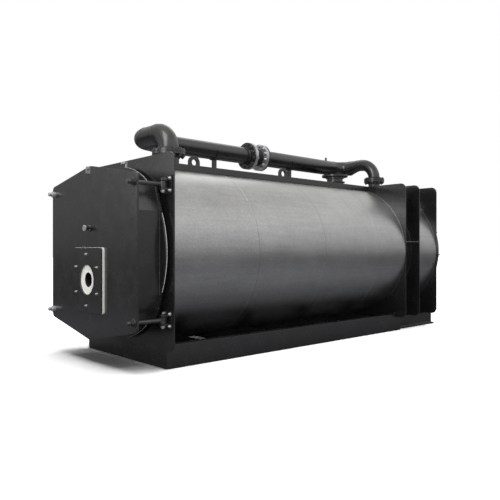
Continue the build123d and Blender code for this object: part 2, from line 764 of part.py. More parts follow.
# Brackets that the door's tie rods end in: two ears on a plate, with a pin on the hinge side
ear_gap = rod_eye_length / 2 + ear_clearance
ear_reach = hinge_offset + rod_eye_radius
with BuildPart() as hinge_brackets:
    for side in sides.values():
        for rod_height in rod_heights:
            with Locations((side * rod_x, front_y, rod_height)):
                Box(bracket_width, bracket_plate, bracket_height,
                    align=(Align.CENTER, Align.MAX, Align.CENTER))
            for ear_z in (rod_height - ear_gap - ear_thickness, rod_height + ear_gap):
                with BuildSketch(floor_plane(side * rod_x, hinge_y, ear_z)):
                    Circle(rod_eye_radius)
                    Rectangle(2 * rod_eye_radius, hinge_offset, align=(Align.CENTER, Align.MIN))
                extrude(amount=ear_thickness)
    pin_length = 2 * (ear_gap + ear_thickness)
    for rod_height in rod_heights:
        with BuildSketch(floor_plane(rod_x, hinge_y, rod_height)):
            Circle(pin_radius)
        extrude(amount=pin_length / 2, both=True)
        with BuildSketch(floor_plane(rod_x, hinge_y, rod_height + pin_length / 2)):
            Circle(pin_head_radius)
        extrude(amount=pin_head)
save(hinge_brackets, "hinge_brackets")

# Burner door: ring, casing, refractory lining and cover, clamped by the four tie rods
casing_side_rise = sqrt(ring_radius**2 - casing_half_width**2)
casing_shoulder_half_width = casing_half_width - casing_shoulder_inset
casing_right = [(0, casing_peak_rise), (casing_shoulder_half_width, casing_shoulder_rise),
                (casing_half_width, casing_side_rise), (casing_half_width, -casing_side_rise),
                (casing_shoulder_half_width, -casing_shoulder_rise), (0, -casing_peak_rise)]
casing_left = [(-x, z) for x, z in reversed(casing_right[1:-1])]
with BuildPart() as door_ring:
    with BuildSketch(facing_front(ring_back_y, z=axis_height)):
        with BuildLine():
            Polyline(*casing_right, *casing_left, close=True)
        make_face()
        offset(amount=ring_margin)
        ring(ring_radius, collar_inner_radius)
    extrude(amount=ring_thickness)
save(door_ring, "door_ring")

rod_places = [(side * rod_x, rod_height) for side in sides.values() for rod_height in rod_heights]
with BuildPart() as door_casing:
    with BuildSketch(facing_front(ring_front_y, z=axis_height)):
        with BuildLine():
            Polyline(*casing_right, *casing_left, close=True)
        make_face()
        offset(amount=-casing_wall, mode=Mode.SUBTRACT)
    extrude(amount=casing_depth)
save(door_casing, "door_casing")

with BuildPart() as door_cover:
    with BuildSketch(facing_front(casing_front_y)) as cover_outline:
        with BuildLine():
            Polyline((-cover_half_width, cover_side_bottom), (-cover_half_width, cover_side_top),
                     (0, cover_peak_top), (cover_half_width, cover_side_top),
                     (cover_half_width, cover_side_bottom), (0, cover_peak_bottom), close=True)
        make_face()
        corners = cover_outline.vertices().group_by(Axis.X)
        fillet(corners[0] + corners[-1], radius=cover_corner)
        peaks = cover_outline.vertices().filter_by(lambda corner: abs(corner.X) < 1)
        fillet(peaks, radius=cover_peak_round)
        with Locations((0, burner_height)):
            Circle(burner_bore_radius, mode=Mode.SUBTRACT)
        with Locations((0, sight_height)):
            Circle(sight_bore_radius, mode=Mode.SUBTRACT)
        with Locations(*rod_places):
            Circle(rod_radius + rod_hole_clearance, mode=Mode.SUBTRACT)
    extrude(amount=cover_thickness)
save(door_cover, "door_cover")

with BuildPart() as cover_eye:
    eye_plane = Plane(origin=(0, cover_front_y, cover_peak_top - cover_eye_height / 2 - cover_eye_drop),
                      x_dir=(0, 1, 0), z_dir=(1, 0, 0))
    with BuildSketch(eye_plane) as eye_outline:
        Rectangle(cover_eye_reach, cover_eye_height, align=(Align.MAX, Align.CENTER))
        fillet(eye_outline.vertices().group_by(Axis.X)[0], radius=cover_eye_hole)
        with Locations((-cover_eye_reach / 2, 0)):
            Circle(cover_eye_hole, mode=Mode.SUBTRACT)
    extrude(amount=cover_eye_thickness / 2, both=True)
save(cover_eye, "cover_eye")

lining_back_y = front_y - collar_length + lining_reach
with BuildPart() as door_lining:
    with BuildSketch(facing_front(lining_back_y, z=axis_height)):
        Circle(lining_radius)
        with Locations((0, burner_offset)):
            Circle(burner_bore_radius, mode=Mode.SUBTRACT)
        with Locations((0, sight_height - axis_height)):
            Circle(sight_bore_radius, mode=Mode.SUBTRACT)
    extrude(amount=lining_back_y - casing_front_y)
    fillet(door_lining.faces().sort_by(Axis.Y)[-1].outer_wire().edges(), radius=lining_reach / 2)
save(door_lining, "door_lining")

gasket_width = burner_plate_width + 2 * burner_gasket_margin
gasket_height = burner_plate_height + 2 * burner_gasket_margin
with BuildPart() as burner_gasket:
    with BuildSketch(facing_front(cover_front_y, z=burner_height)):
        RectangleRounded(gasket_width, gasket_height, burner_plate_corner + burner_gasket_margin)
        Circle(burner_bore_radius, mode=Mode.SUBTRACT)
        with PolarLocations(burner_stud_circle, burner_stud_count, start_angle=quarter_turn):
            Circle(burner_stud_radius, mode=Mode.SUBTRACT)
    extrude(amount=burner_gasket_depth)
save(burner_gasket, "burner_gasket")

with BuildPart() as burner_plate:
    with BuildSketch(facing_front(burner_plate_y, z=burner_height)):
        RectangleRounded(burner_plate_width, burner_plate_height, burner_plate_corner)
        Circle(burner_bore_radius, mode=Mode.SUBTRACT)
        with PolarLocations(burner_stud_circle, burner_stud_count, start_angle=quarter_turn):
            Circle(burner_stud_radius, mode=Mode.SUBTRACT)
    extrude(amount=burner_plate_depth)
    chamfer(burner_plate.faces().sort_by(Axis.Y)[0].outer_wire().edges(), length=burner_plate_chamfer)
save(burner_plate, "burner_plate")

with BuildPart() as burner_throat:
    with BuildSketch(facing_front(burner_face_y + throat_recess, z=burner_height)):
        ring(burner_bore_radius - layer_clearance, throat_radius)
    extrude(amount=-(lining_back_y - burner_face_y - throat_recess))
    mouth = burner_throat.faces().sort_by(Axis.Y)[0].inner_wires()[0]
    fillet(mouth.edges(), radius=throat_round)
save(burner_throat, "burner_throat")

with BuildPart() as sight_glass:
    with BuildSketch(facing_front(cover_front_y, z=sight_height)):
        ring(sight_flange_radius, sight_bore_radius)
    extrude(amount=sight_flange_thickness)
    with BuildSketch(facing_front(cover_front_y, z=sight_height)):
        ring(sight_radius, sight_bore_radius)
    extrude(amount=sight_reach - sight_flange_thickness)
    with BuildSketch(facing_front(cover_front_y - sight_reach + sight_flange_thickness, z=sight_height)):
        Circle(sight_radius + sight_rim_width)
    extrude(amount=sight_flange_thickness)
    fillet(sight_glass.faces().sort_by(Axis.Y)[0].edges(), radius=sight_rim_round)
save(sight_glass, "sight_glass")

with BuildPart() as tie_rods:
    for place_x, rod_height in rod_places:
        with BuildSketch(floor_plane(place_x, hinge_y, rod_height)):
            Circle(rod_eye_radius)
        extrude(amount=rod_eye_length / 2, both=True)
        with BuildSketch(facing_front(hinge_y, place_x, rod_height)):
            Circle(rod_radius)
        extrude(amount=hinge_y - cover_front_y + rod_reach)
        with BuildSketch(facing_front(cover_front_y, place_x, rod_height)):
            RegularPolygon(rod_nut_size, 6)
        extrude(amount=rod_nut_thickness)
        with BuildSketch(floor_plane(place_x, hinge_y, rod_height)):
            Circle(pin_radius + pin_clearance)
        extrude(amount=rod_eye_length, both=True, mode=Mode.SUBTRACT)
save(tie_rods, "tie_rods")
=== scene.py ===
"""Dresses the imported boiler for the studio: finishes, fasteners, weld beads and seams."""

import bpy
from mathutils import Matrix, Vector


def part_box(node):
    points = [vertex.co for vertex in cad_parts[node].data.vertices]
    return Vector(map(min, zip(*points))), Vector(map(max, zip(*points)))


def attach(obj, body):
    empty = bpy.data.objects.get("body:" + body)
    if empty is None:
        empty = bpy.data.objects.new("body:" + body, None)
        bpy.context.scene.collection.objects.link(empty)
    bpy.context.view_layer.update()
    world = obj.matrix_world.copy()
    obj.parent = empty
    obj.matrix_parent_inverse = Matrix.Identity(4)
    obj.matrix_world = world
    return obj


bl_info = {
    "name": "Boiler Dressing",
    "version": (1, 0, 0),
    "blender": (4, 5, 0),
    "location": "View3D > Sidebar > Boiler",
    "description": "Finishes, fasteners and seams for an industrial boiler",
    "category": "Object",
}

from itertools import product
from math import cos, pi, radians, sin, sqrt

import bmesh
import bpy
from bpy.props import FloatProperty, FloatVectorProperty, IntProperty, PointerProperty
from mathutils import Matrix, Vector

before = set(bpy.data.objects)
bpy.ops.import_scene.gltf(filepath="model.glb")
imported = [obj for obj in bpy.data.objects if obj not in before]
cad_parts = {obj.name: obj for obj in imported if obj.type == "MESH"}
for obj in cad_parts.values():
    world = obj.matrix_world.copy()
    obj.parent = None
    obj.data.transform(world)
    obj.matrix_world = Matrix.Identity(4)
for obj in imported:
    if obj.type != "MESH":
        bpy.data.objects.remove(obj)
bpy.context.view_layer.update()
BOILER = "boiler"
DOOR = "front_door"
PHOTO_SIZE = 500

# Which finish each CAD node wears
PAINTED = ("base_rail_right base_rail_left base_end_beams saddles rear_frame front_plate boiler_rear_plate "
           "economizer_front_plate economizer_rear_plate front_collar smoke_box economizer_barrel rear_cover "
           "flue_spigot walkway_deck lifting_lugs return_nozzle flow_nozzle economizer_nozzle front_riser "
           "rear_riser pipe_front pipe_rear pipe_supports hinge_brackets door_ring door_casing door_cover "
           "burner_plate sight_glass tie_bars").split()
CLADDING = ("cladding_sheet_1", "cladding_sheet_2", "cladding_sheet_3", "cladding_sheet_4",
            "economizer_cladding")
ZINC = ("joint_rings", "top_clip", "cover_eye")
BLACKENED = ("tie_rods",)
RUBBER = ("joint_bellows",)
REFRACTORY = ("door_lining", "burner_throat", "burner_gasket")
STEEL = ("front_tube_plate", "furnace_tube", "smoke_tubes", "shell_barrel")
WOOL = ("insulation",)


class BoilerFinish(bpy.types.PropertyGroup):
    """Colours and textures of the finishes."""
    paint_colour: FloatVectorProperty(
        name="Paint", description="Colour of the black stove paint",
        subtype="COLOR", default=(0.016, 0.016, 0.0162), min=0, max=1)
    paint_roughness: FloatProperty(
        name="Paint roughness", description="Roughness of the paint between its worn edges",
        default=0.22, min=0, max=1)
    paint_shine: FloatProperty(
        name="Paint shine", description="How strongly the paint mirrors, 0.5 for plain plastic",
        default=1.0, min=0, max=1)
    cladding_colour: FloatVectorProperty(
        name="Cladding", description="Colour of the aluminium cladding",
        subtype="COLOR", default=(0.53, 0.53, 0.53), min=0, max=1)
    cladding_roughness: FloatProperty(
        name="Cladding roughness", description="Roughness of the cladding", default=0.30, min=0, max=1)
    emboss_size: FloatProperty(
        name="Embossing size", description="Spacing of the stucco embossing",
        subtype="DISTANCE", default=0.017, min=0.001)
    zinc_colour: FloatVectorProperty(
        name="Zinc", description="Colour of zinc-plated parts",
        subtype="COLOR", default=(0.62, 0.63, 0.64), min=0, max=1)
    rubber_colour: FloatVectorProperty(
        name="Rubber", description="Colour of the bellows",
        subtype="COLOR", default=(0.012, 0.012, 0.012), min=0, max=1)
    ceramic_colour: FloatVectorProperty(
        name="Refractory", description="Colour of the cast refractory",
        subtype="COLOR", default=(0.80, 0.79, 0.76), min=0, max=1)
    blackened_colour: FloatVectorProperty(
        name="Blackened steel", description="Colour of the rods and black bolts",
        subtype="COLOR", default=(0.11, 0.111, 0.116), min=0, max=1)
    steel_colour: FloatVectorProperty(
        name="Bare steel", description="Colour of the unpainted steel inside",
        subtype="COLOR", default=(0.20, 0.19, 0.18), min=0, max=1)
    wool_colour: FloatVectorProperty(
        name="Mineral wool", description="Colour of the insulation",
        subtype="COLOR", default=(0.50, 0.43, 0.24), min=0, max=1)


class BoilerFittings(bpy.types.PropertyGroup):
    """Sizes of the flanges, fasteners, welds and seams."""
    flange_thickness: FloatProperty(
        name="Flange thickness", description="Thickness of the pipe flanges", unit="LENGTH", default=0.026)
    hub_reach: FloatProperty(
        name="Hub reach", description="Length of the hub behind a flange", unit="LENGTH", default=0.022)
    bolt_edge: FloatProperty(
        name="Bolt edge", description="Distance from a flange's rim to its bolt circle",
        unit="LENGTH", default=0.025)
    ring_thickness: FloatProperty(
        name="Ring thickness", description="Thickness of the expansion joint's rings",
        unit="LENGTH", default=0.044)
    pipe_radius: FloatProperty(
        name="Pipe radius", description="Outer radius of the connecting pipe", unit="LENGTH", default=0.1095)
    small_pipe_radius: FloatProperty(
        name="Small pipe radius", description="Outer radius behind the reducer",
        unit="LENGTH", default=0.0842)
    bend_radius: FloatProperty(
        name="Bend radius", description="Centre line radius of the pipe's bends",
        unit="LENGTH", default=0.203)
    small_bend_radius: FloatProperty(
        name="Small bend radius", description="Centre line radius of the small bend",
        unit="LENGTH", default=0.229)
    reducer_length: FloatProperty(
        name="Reducer length", description="Length of the flat-topped reducer", unit="LENGTH", default=0.152)
    flange_bolts: IntProperty(name="Flange bolts", description="Bolts in a large flange", default=12)
    small_flange_bolts: IntProperty(
        name="Small flange bolts", description="Bolts in a small flange", default=8)
    bolt_size: FloatProperty(
        name="Bolt size", description="Thread size of the flange bolts", unit="LENGTH", default=0.022)
    weld_size: FloatProperty(
        name="Weld size", description="Half width of a weld bead", unit="LENGTH", default=0.008)
    sheet_length: FloatProperty(
        name="Sheet length", description="Length of one cladding sheet", unit="LENGTH", default=1.041)
    strap_width: FloatProperty(
        name="Strap width", description="Width of the strap over a cladding joint",
        unit="LENGTH", default=0.03)
    rivet_pitch: FloatProperty(
        name="Rivet pitch", description="Distance between rivets on a strap", unit="LENGTH", default=0.14)
    clamp_count: IntProperty(
        name="Clamp screws", description="Clamp screws round the rear cover", default=18)
    clamp_start: FloatProperty(
        name="First clamp screw", description="Angle of the first clamp screw",
        subtype="ANGLE", default=radians(-3))
    stud_circle: FloatProperty(
        name="Stud circle", description="Radius of the burner's stud circle", unit="LENGTH", default=0.248)
    stud_count: IntProperty(name="Burner studs", description="Studs on the burner plate", default=6)


class BoilerStage(bpy.types.PropertyGroup):
    """Camera, lamps and floor."""
    camera_place: FloatVectorProperty(
        name="Camera", description="Where the camera stands",
        subtype="TRANSLATION", default=(5.083, -5.0665, 1.104))
    camera_turn: FloatProperty(
        name="Camera turn", description="Compass angle of the level camera",
        subtype="ANGLE", default=radians(47.7))
    lens: FloatProperty(
        name="Lens", description="Focal length on a 36 mm sensor, in millimetres", default=40.75)
    horizon_row: FloatProperty(
        name="Horizon row", description="Row of the horizon in the photograph's 500 rows", default=248.5)
    front_power: FloatProperty(
        name="Front power", description="Power of the low lamp before the door", default=260)
    side_power: FloatProperty(
        name="Side power", description="Power of the low lamp on the right", default=240)
    shine_power: FloatProperty(
        name="Shine power", description="Power of the softbox that shines in the paint", default=190)
    rim_power: FloatProperty(
        name="Rim power", description="Power of the softbox behind the boiler", default=24)
    plate_power: FloatProperty(
        name="Plate power", description="Power of the softbox mirrored in the rear plates", default=40)
    overhead_power: FloatProperty(
        name="Overhead power", description="Power of the softbox over the door", default=70)
    sun_power: FloatProperty(
        name="Sun power", description="Strength of the soft light overhead on the floor", default=1.15)
    sun_place: FloatVectorProperty(
        name="Sun place", description="Where the soft sun shines from",
        subtype="DIRECTION", default=(0.7, 1.3, 7.0))
    sun_softness: FloatProperty(
        name="Sun softness", description="Angle across the soft sun", subtype="ANGLE", default=radians(60))
    fill_level: FloatProperty(
        name="Fill level", description="Strength of the studio's own light", default=0.03)
    dim_side_level: FloatProperty(
        name="Dim side", description="Share of light from the studio's front left", default=0.5)
    dim_back_level: FloatProperty(
        name="Dim back", description="Share of light from the studio's rear left", default=0.35)
    floor_gain: FloatProperty(
        name="Floor gain", description="Brightness of the floor that the camera sees", default=4.8)
    floor_reach: FloatProperty(
        name="Floor reach", description="Distance at which the mirrored floor has gone dark",
        unit="LENGTH", default=9.0)
    near_floor_level: FloatProperty(
        name="Near floor level", description="Share of light on the mirrored floor beside the boiler",
        default=0.6)
    floor_bounce: FloatVectorProperty(
        name="Floor bounce", description="Colour of the floor that lights the boiler",
        subtype="COLOR", default=(0.60, 0.61, 0.65), min=0, max=1)


class Nodes:
    """A short way to write a node tree: add nodes and join their sockets."""

    def __init__(self, tree):
        self.tree = tree
        self.tree.nodes.clear()

    def add(self, kind, inputs=None, **settings):
        node = self.tree.nodes.new(kind)
        for key, value in settings.items():
            setattr(node, key, value)
        for key, value in (inputs or {}).items():
            self.put(node, key, value)
        return node

    def put(self, node, key, value):
        """Link a socket or set a value."""
        if isinstance(value, bpy.types.NodeSocket):
            self.tree.links.new(value, node.inputs[key])
        else:
            node.inputs[key].default_value = value

    def ramp(self, factor, *stops):
        """A colour ramp through (place, grey or colour) stops."""
        node = self.add("ShaderNodeValToRGB", {"Fac": factor})
        elements = node.color_ramp.elements
        while len(elements) < len(stops):
            elements.new(1)
        for element, (place, shade) in zip(elements, stops):
            element.position = place
            element.color = (shade, shade, shade, 1) if isinstance(shade, (int, float)) else (*shade, 1)
        return node.outputs["Color"]

    def math(self, operation, *values):
        return self.add("ShaderNodeMath", dict(enumerate(values)), operation=operation).outputs[0]

    def vector(self, operation, *values, output="Vector"):
        node = self.add("ShaderNodeVectorMath", dict(enumerate(values)), operation=operation)
        return node.outputs[output]

    def mix(self, factor, first, second, blend="MIX"):
        node = self.add("ShaderNodeMix", data_type="RGBA", blend_type=blend)
        self.put(node, "Factor", factor)
        for key, value in ((6, first), (7, second)):
            self.put(node, key, value if isinstance(value, bpy.types.NodeSocket) else (*value[:3], 1))
        return node.outputs[2]

    def multiply(self, first, second):
        return self.mix(1.0, first, second, "MULTIPLY")

    def noise(self, place, scale, detail, roughness=0.5):
        settings = {"Vector": place, "Scale": scale, "Detail": detail, "Roughness": roughness}
        return self.add("ShaderNodeTexNoise", settings).outputs["Fac"]

    def object_place(self):
        return self.add("ShaderNodeTexCoord").outputs["Object"]

    def background(self, colour, strength):
        return self.add("ShaderNodeBackground", {"Color": colour, "Strength": strength}).outputs[0]

    def mix_shader(self, factor, first, second):
        return self.add("ShaderNodeMixShader", {"Fac": factor, 1: first, 2: second}).outputs[0]


def new_group(name, inputs, outputs):
    """An empty shader node group with named sockets: its nodes, what it is given and its result node."""
    group = bpy.data.node_groups.new(name, "ShaderNodeTree")
    for socket_name, default in inputs.items():
        socket = group.interface.new_socket(socket_name, in_out="INPUT", socket_type="NodeSocketFloat")
        socket.default_value = default
    for socket_name, kind in outputs.items():
        group.interface.new_socket(socket_name, in_out="OUTPUT", socket_type="NodeSocket" + kind)
    nodes = Nodes(group)
    return nodes, nodes.add("NodeGroupInput").outputs, nodes.add("NodeGroupOutput")


def grain_group():
    """Fine and coarse unevenness of a sprayed or cast surface, as a height and a mottle mask."""
    nodes, given, result = new_group("Surface grain", {"Fine size": 0.002, "Coarse size": 0.08},
                                     {"Height": "Float", "Mottle": "Float"})
    place = nodes.object_place()
    fine = nodes.noise(place, nodes.math("DIVIDE", 1.0, given["Fine size"]), detail=2.0)
    coarse = nodes.noise(place, nodes.math("DIVIDE", 1.0, given["Coarse size"]), detail=5.0, roughness=0.62)
    nodes.put(result, "Height", fine)
    nodes.put(result, "Mottle", nodes.ramp(coarse, (0.35, 0), (0.65, 1)))


def edge_wear_group():
    """A mask that is 1 along convex edges, broken up by noise, and the normal of a rounded edge."""
    nodes, given, result = new_group("Edge wear", {"Width": 0.004, "Break-up size": 0.03},
                                     {"Mask": "Float", "Normal": "Vector"})
    rounded = nodes.add("ShaderNodeBevel", {"Radius": given["Width"]}, samples=4).outputs["Normal"]
    flat = nodes.add("ShaderNodeNewGeometry").outputs["Normal"]
    agree = nodes.vector("DOT_PRODUCT", rounded, flat, output="Value")
    edge = nodes.ramp(nodes.math("SUBTRACT", 1.0, agree), (0.01, 0), (0.12, 1))
    scale = nodes.math("DIVIDE", 1.0, given["Break-up size"])
    chips = nodes.noise(nodes.object_place(), scale, detail=6.0, roughness=0.7)
    broken = nodes.ramp(chips, (0.48, 0), (0.62, 1))
    nodes.put(result, "Mask", nodes.math("MULTIPLY", edge, broken))
    nodes.put(result, "Normal", rounded)


def dust_group():
    """Light dust on faces that look up, thicker in soft patches."""
    nodes, given, result = new_group("Dust", {"Amount": 0.3, "Patch size": 0.25}, {"Mask": "Float"})
    facing = nodes.add("ShaderNodeNewGeometry").outputs["Normal"]
    upness = nodes.add("ShaderNodeSeparateXYZ", {0: facing}).outputs["Z"]
    level = nodes.ramp(upness, (0.3, 0), (0.95, 1))
    scale = nodes.math("DIVIDE", 1.0, given["Patch size"])
    patches = nodes.noise(nodes.object_place(), scale, detail=8.0, roughness=0.65)
    soft = nodes.ramp(patches, (0.3, 0.25), (0.7, 1))
    nodes.put(result, "Mask", nodes.math("MULTIPLY", nodes.math("MULTIPLY", level, soft), given["Amount"]))


def use_group(nodes, name, inputs):
    """Place a node group in a material with its own values, and give its outputs."""
    node = nodes.add("ShaderNodeGroup", node_tree=bpy.data.node_groups[name])
    for key, value in inputs.items():
        nodes.put(node, key, value)
    return node.outputs


def finish_material(name, build):
    """A material whose Principled BSDF is set up by build(nodes, shader)."""
    material = bpy.data.materials.new(name)
    material.use_nodes = True
    nodes = Nodes(material.node_tree)
    shader = nodes.add("ShaderNodeBsdfPrincipled")
    build(nodes, shader)
    nodes.add("ShaderNodeOutputMaterial", {"Surface": shader.outputs[0]})
    return material


def tones(colour_name, *shares):
    """A user's colour, darkened or lightened by each share."""
    colour = Vector(getattr(bpy.context.scene.boiler_finish, colour_name))
    return [colour * share for share in shares]


def vary_roughness(nodes, shader, mask, spread, base):
    nodes.put(shader, "Roughness", nodes.math("MULTIPLY_ADD", mask, spread, base))


def raise_bump(nodes, shader, height, strength, distance, normal=None, invert=False):
    bump = nodes.add("ShaderNodeBump", {"Strength": strength, "Distance": distance, "Height": height},
                     invert=invert)
    if normal is not None:
        nodes.put(bump, "Normal", normal)
    nodes.put(shader, "Normal", bump.outputs["Normal"])


def grained(nodes, shader, two_tones, fine, coarse, roughness, spread=0, bump=0, depth=0, cover=None):
    """Mottle a surface between two tones and roughnesses, raise its grain, and lay cover(tone) over it."""
    grain = use_group(nodes, "Surface grain", {"Fine size": fine, "Coarse size": coarse})
    tone = nodes.mix(grain["Mottle"], *two_tones)
    nodes.put(shader, "Base Color", cover(tone) if cover else tone)
    if spread:
        vary_roughness(nodes, shader, grain["Mottle"], spread, roughness)
    else:
        shader.inputs["Roughness"].default_value = roughness
    if bump:
        raise_bump(nodes, shader, grain["Height"], bump, depth)
    return grain


def paint_finish(nodes, shader):
    """Satin black stove paint over steel, with rubbed edges, faint mottle and dust."""
    look = bpy.context.scene.boiler_finish
    grain = use_group(nodes, "Surface grain", {"Fine size": 0.0016, "Coarse size": 0.16})
    edges = use_group(nodes, "Edge wear", {"Width": 0.004, "Break-up size": 0.035})
    dust = use_group(nodes, "Dust", {"Amount": 0.08, "Patch size": 0.35})["Mask"]
    paint = nodes.mix(grain["Mottle"], *tones("paint_colour", 0.88, 1.12))
    rubbed = nodes.mix(nodes.math("MULTIPLY", edges["Mask"], 0.35), paint, (0.11, 0.11, 0.11))
    nodes.put(shader, "Base Color", nodes.mix(dust, rubbed, (0.22, 0.215, 0.205)))
    satin = nodes.math("MULTIPLY_ADD", grain["Mottle"], 0.07, look.paint_roughness)
    vary_roughness(nodes, shader, dust, 0.5, satin)
    shader.inputs["Specular IOR Level"].default_value = look.paint_shine
    raise_bump(nodes, shader, grain["Height"], strength=0.12, distance=0.0004, normal=edges["Normal"])


def cladding_finish(nodes, shader):
    """Bright aluminium sheet with diagonal stucco embossing and faint handling marks."""
    look = bpy.context.scene.boiler_finish
    place = nodes.object_place()
    parts = nodes.add("ShaderNodeSeparateXYZ", {0: place}).outputs
    angle = nodes.math("ARCTAN2", nodes.math("SUBTRACT", parts["Z"], AXIS_HEIGHT), parts["X"])
    around = nodes.math("MULTIPLY", angle, CLADDING_RADIUS)
    unrolled = nodes.add("ShaderNodeCombineXYZ", {"X": parts["Y"], "Y": around}).outputs[0]
    turned = nodes.add("ShaderNodeMapping", {"Vector": unrolled, "Rotation": (0, 0, radians(38))})
    cells = nodes.add("ShaderNodeTexVoronoi", {"Vector": turned.outputs[0], "Scale": 1 / look.emboss_size,
                                               "Randomness": 0.35}, feature="SMOOTH_F1").outputs["Distance"]
    marks = nodes.noise(place, scale=3.5, detail=7.0, roughness=0.62)
    streaks = nodes.add("ShaderNodeMapping", {"Vector": unrolled, "Scale": (1.6, 26, 1)}).outputs[0]
    rolled = nodes.noise(streaks, scale=1.0, detail=5.0)
    shade = nodes.multiply(nodes.ramp(marks, (0.3, 0.90), (0.7, 1.06)),
                           nodes.ramp(rolled, (0.3, 0.94), (0.7, 1.05)))
    shade = nodes.multiply(shade, nodes.ramp(cells, (0.15, 0.80), (0.55, 1.05)))
    nodes.put(shader, "Base Color", nodes.multiply(shade, look.cladding_colour))
    shader.inputs["Metallic"].default_value = 1.0
    vary_roughness(nodes, shader, marks, 0.12, look.cladding_roughness)
    raise_bump(nodes, shader, cells, strength=0.7, distance=0.0012, invert=True)


def zinc_finish(nodes, shader):
    """Bright zinc plate with cloudy patches."""
    grained(nodes, shader, tones("zinc_colour", 0.84, 1.08), fine=0.0012, coarse=0.03, roughness=0.26,
            spread=0.12, bump=0.15, depth=0.0003)
    shader.inputs["Metallic"].default_value = 0.65


def rubber_finish(nodes, shader):
    """Moulded rubber with a dull bloom."""
    grained(nodes, shader, tones("rubber_colour", 0.8, 1.6), fine=0.004, coarse=0.06, roughness=0.48,
            spread=0.15, bump=0.3, depth=0.0006)


def ceramic_finish(nodes, shader):
    """Cast refractory: matt, off-white, pitted, and near-black inside the burner's throat."""
    # Near-black within a small radius of the burner's axis, inside its bore.
    def darkened_throat(clean):
        offset = nodes.vector("SUBTRACT", nodes.object_place(), BURNER)
        flat = nodes.vector("MULTIPLY", offset, (1, 0, 1))
        from_axis = nodes.math("MULTIPLY", nodes.vector("LENGTH", flat, output="Value"), 10.0)
        return nodes.mix(nodes.ramp(from_axis, (0.69, 1), (0.73, 0)), clean, (0.006, 0.006, 0.006))

    grained(nodes, shader, tones("ceramic_colour", 0.90, 1.02), fine=0.006, coarse=0.05, roughness=0.78,
            spread=0.1, bump=0.4, depth=0.0012, cover=darkened_throat)


def blackened_finish(nodes, shader):
    """Blackened steel: dark, oily and a little worn."""
    dark, light, worn = tones("blackened_colour", 0.8, 1.25, 3)
    wear = use_group(nodes, "Edge wear", {"Width": 0.0015, "Break-up size": 0.012})["Mask"]
    grained(nodes, shader, (dark, light), fine=0.0014, coarse=0.05, roughness=0.3, spread=0.12,
            bump=0.15, depth=0.0003, cover=lambda oxide: nodes.mix(wear, oxide, worn))
    shader.inputs["Metallic"].default_value = 0.8


def gasket_finish(nodes, shader):
    """Graphite gasket sheet: dark grey and dry."""
    grained(nodes, shader, ((0.035, 0.036, 0.038), (0.06, 0.061, 0.063)), fine=0.001, coarse=0.02,
            roughness=0.7, spread=0.1)


def lens_finish(nodes, shader):
    """Sight glass: dark and glossy, with a faint haze."""
    grained(nodes, shader, ((0.012, 0.014, 0.018), (0.03, 0.034, 0.04)), fine=0.002, coarse=0.012,
            roughness=0.06, spread=0.06)
    shader.inputs["Coat Weight"].default_value = 1.0


def steel_finish(nodes, shader):
    """Bare steel with mill scale and a little flash rust."""
    grain = grained(nodes, shader, (*tones("steel_colour", 0.75), (0.24, 0.19, 0.15)), fine=0.003,
                    coarse=0.12, roughness=0.42, spread=0.25, bump=0.25, depth=0.0008)
    nodes.put(shader, "Metallic", nodes.math("MULTIPLY_ADD", grain["Mottle"], -0.5, 0.9))


def wool_finish(nodes, shader):
    """Mineral wool: fibrous and matt."""
    grained(nodes, shader, tones("wool_colour", 0.7, 1.1), fine=0.005, coarse=0.04, roughness=0.95,
            bump=0.9, depth=0.004)


# Each finish: how it is built, the CAD nodes that wear it, and the record's material slot
FINISHES = {
    "Black stove paint": (paint_finish, PAINTED, "black_paint"),
    "Embossed aluminium": (cladding_finish, CLADDING, "cladding_metal"),
    "Zinc plate": (zinc_finish, ZINC, "zinc_plate"),
    "Blackened steel": (blackened_finish, BLACKENED, "blackened_steel"),
    "Graphite gasket": (gasket_finish, (), "black_rubber"),
    "Sight glass lens": (lens_finish, (), "black_rubber"),
    "Bellows rubber": (rubber_finish, RUBBER, "black_rubber"),
    "Cast refractory": (ceramic_finish, REFRACTORY, "refractory"),
    "Bare steel": (steel_finish, STEEL, "bare_steel"),
    "Mineral wool mat": (wool_finish, WOOL, "mineral_wool"),
}


def low(node):
    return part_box(node)[0]


def high(node):
    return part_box(node)[1]


def middle(node):
    return (low(node) + high(node)) / 2


# Sizes of the CAD parts that their boxes don't give
BRACKET_HALF_WIDTH = 0.062
BRACKET_HALF_HEIGHT = 0.085
BRACKET_THICKNESS = 0.014
HINGE_OFFSET = 0.060
PIN_HALF_LENGTH = 0.0473
ROD_NUT = 0.030
ROD_THREAD = 0.0405
RING_INSET = 0.041
SHOULDER_INSET = 0.082
SHOULDER_DROP = 0.230
FLUE_RADIUS = 0.250
TIE_BAR_RADIUS = 0.011
STUB_RADIUS = 0.015
STUB_BACK = 0.354
LUG_HALF_LENGTH = 0.095
LUG_PLACES = (0.885, 2.299)

# Where each cladding sheet laps over its own other end, and by how much
LAP_ANGLE = radians(205)
LAP_STAGGER = radians(5)
LAP_WIDTH = 0.028
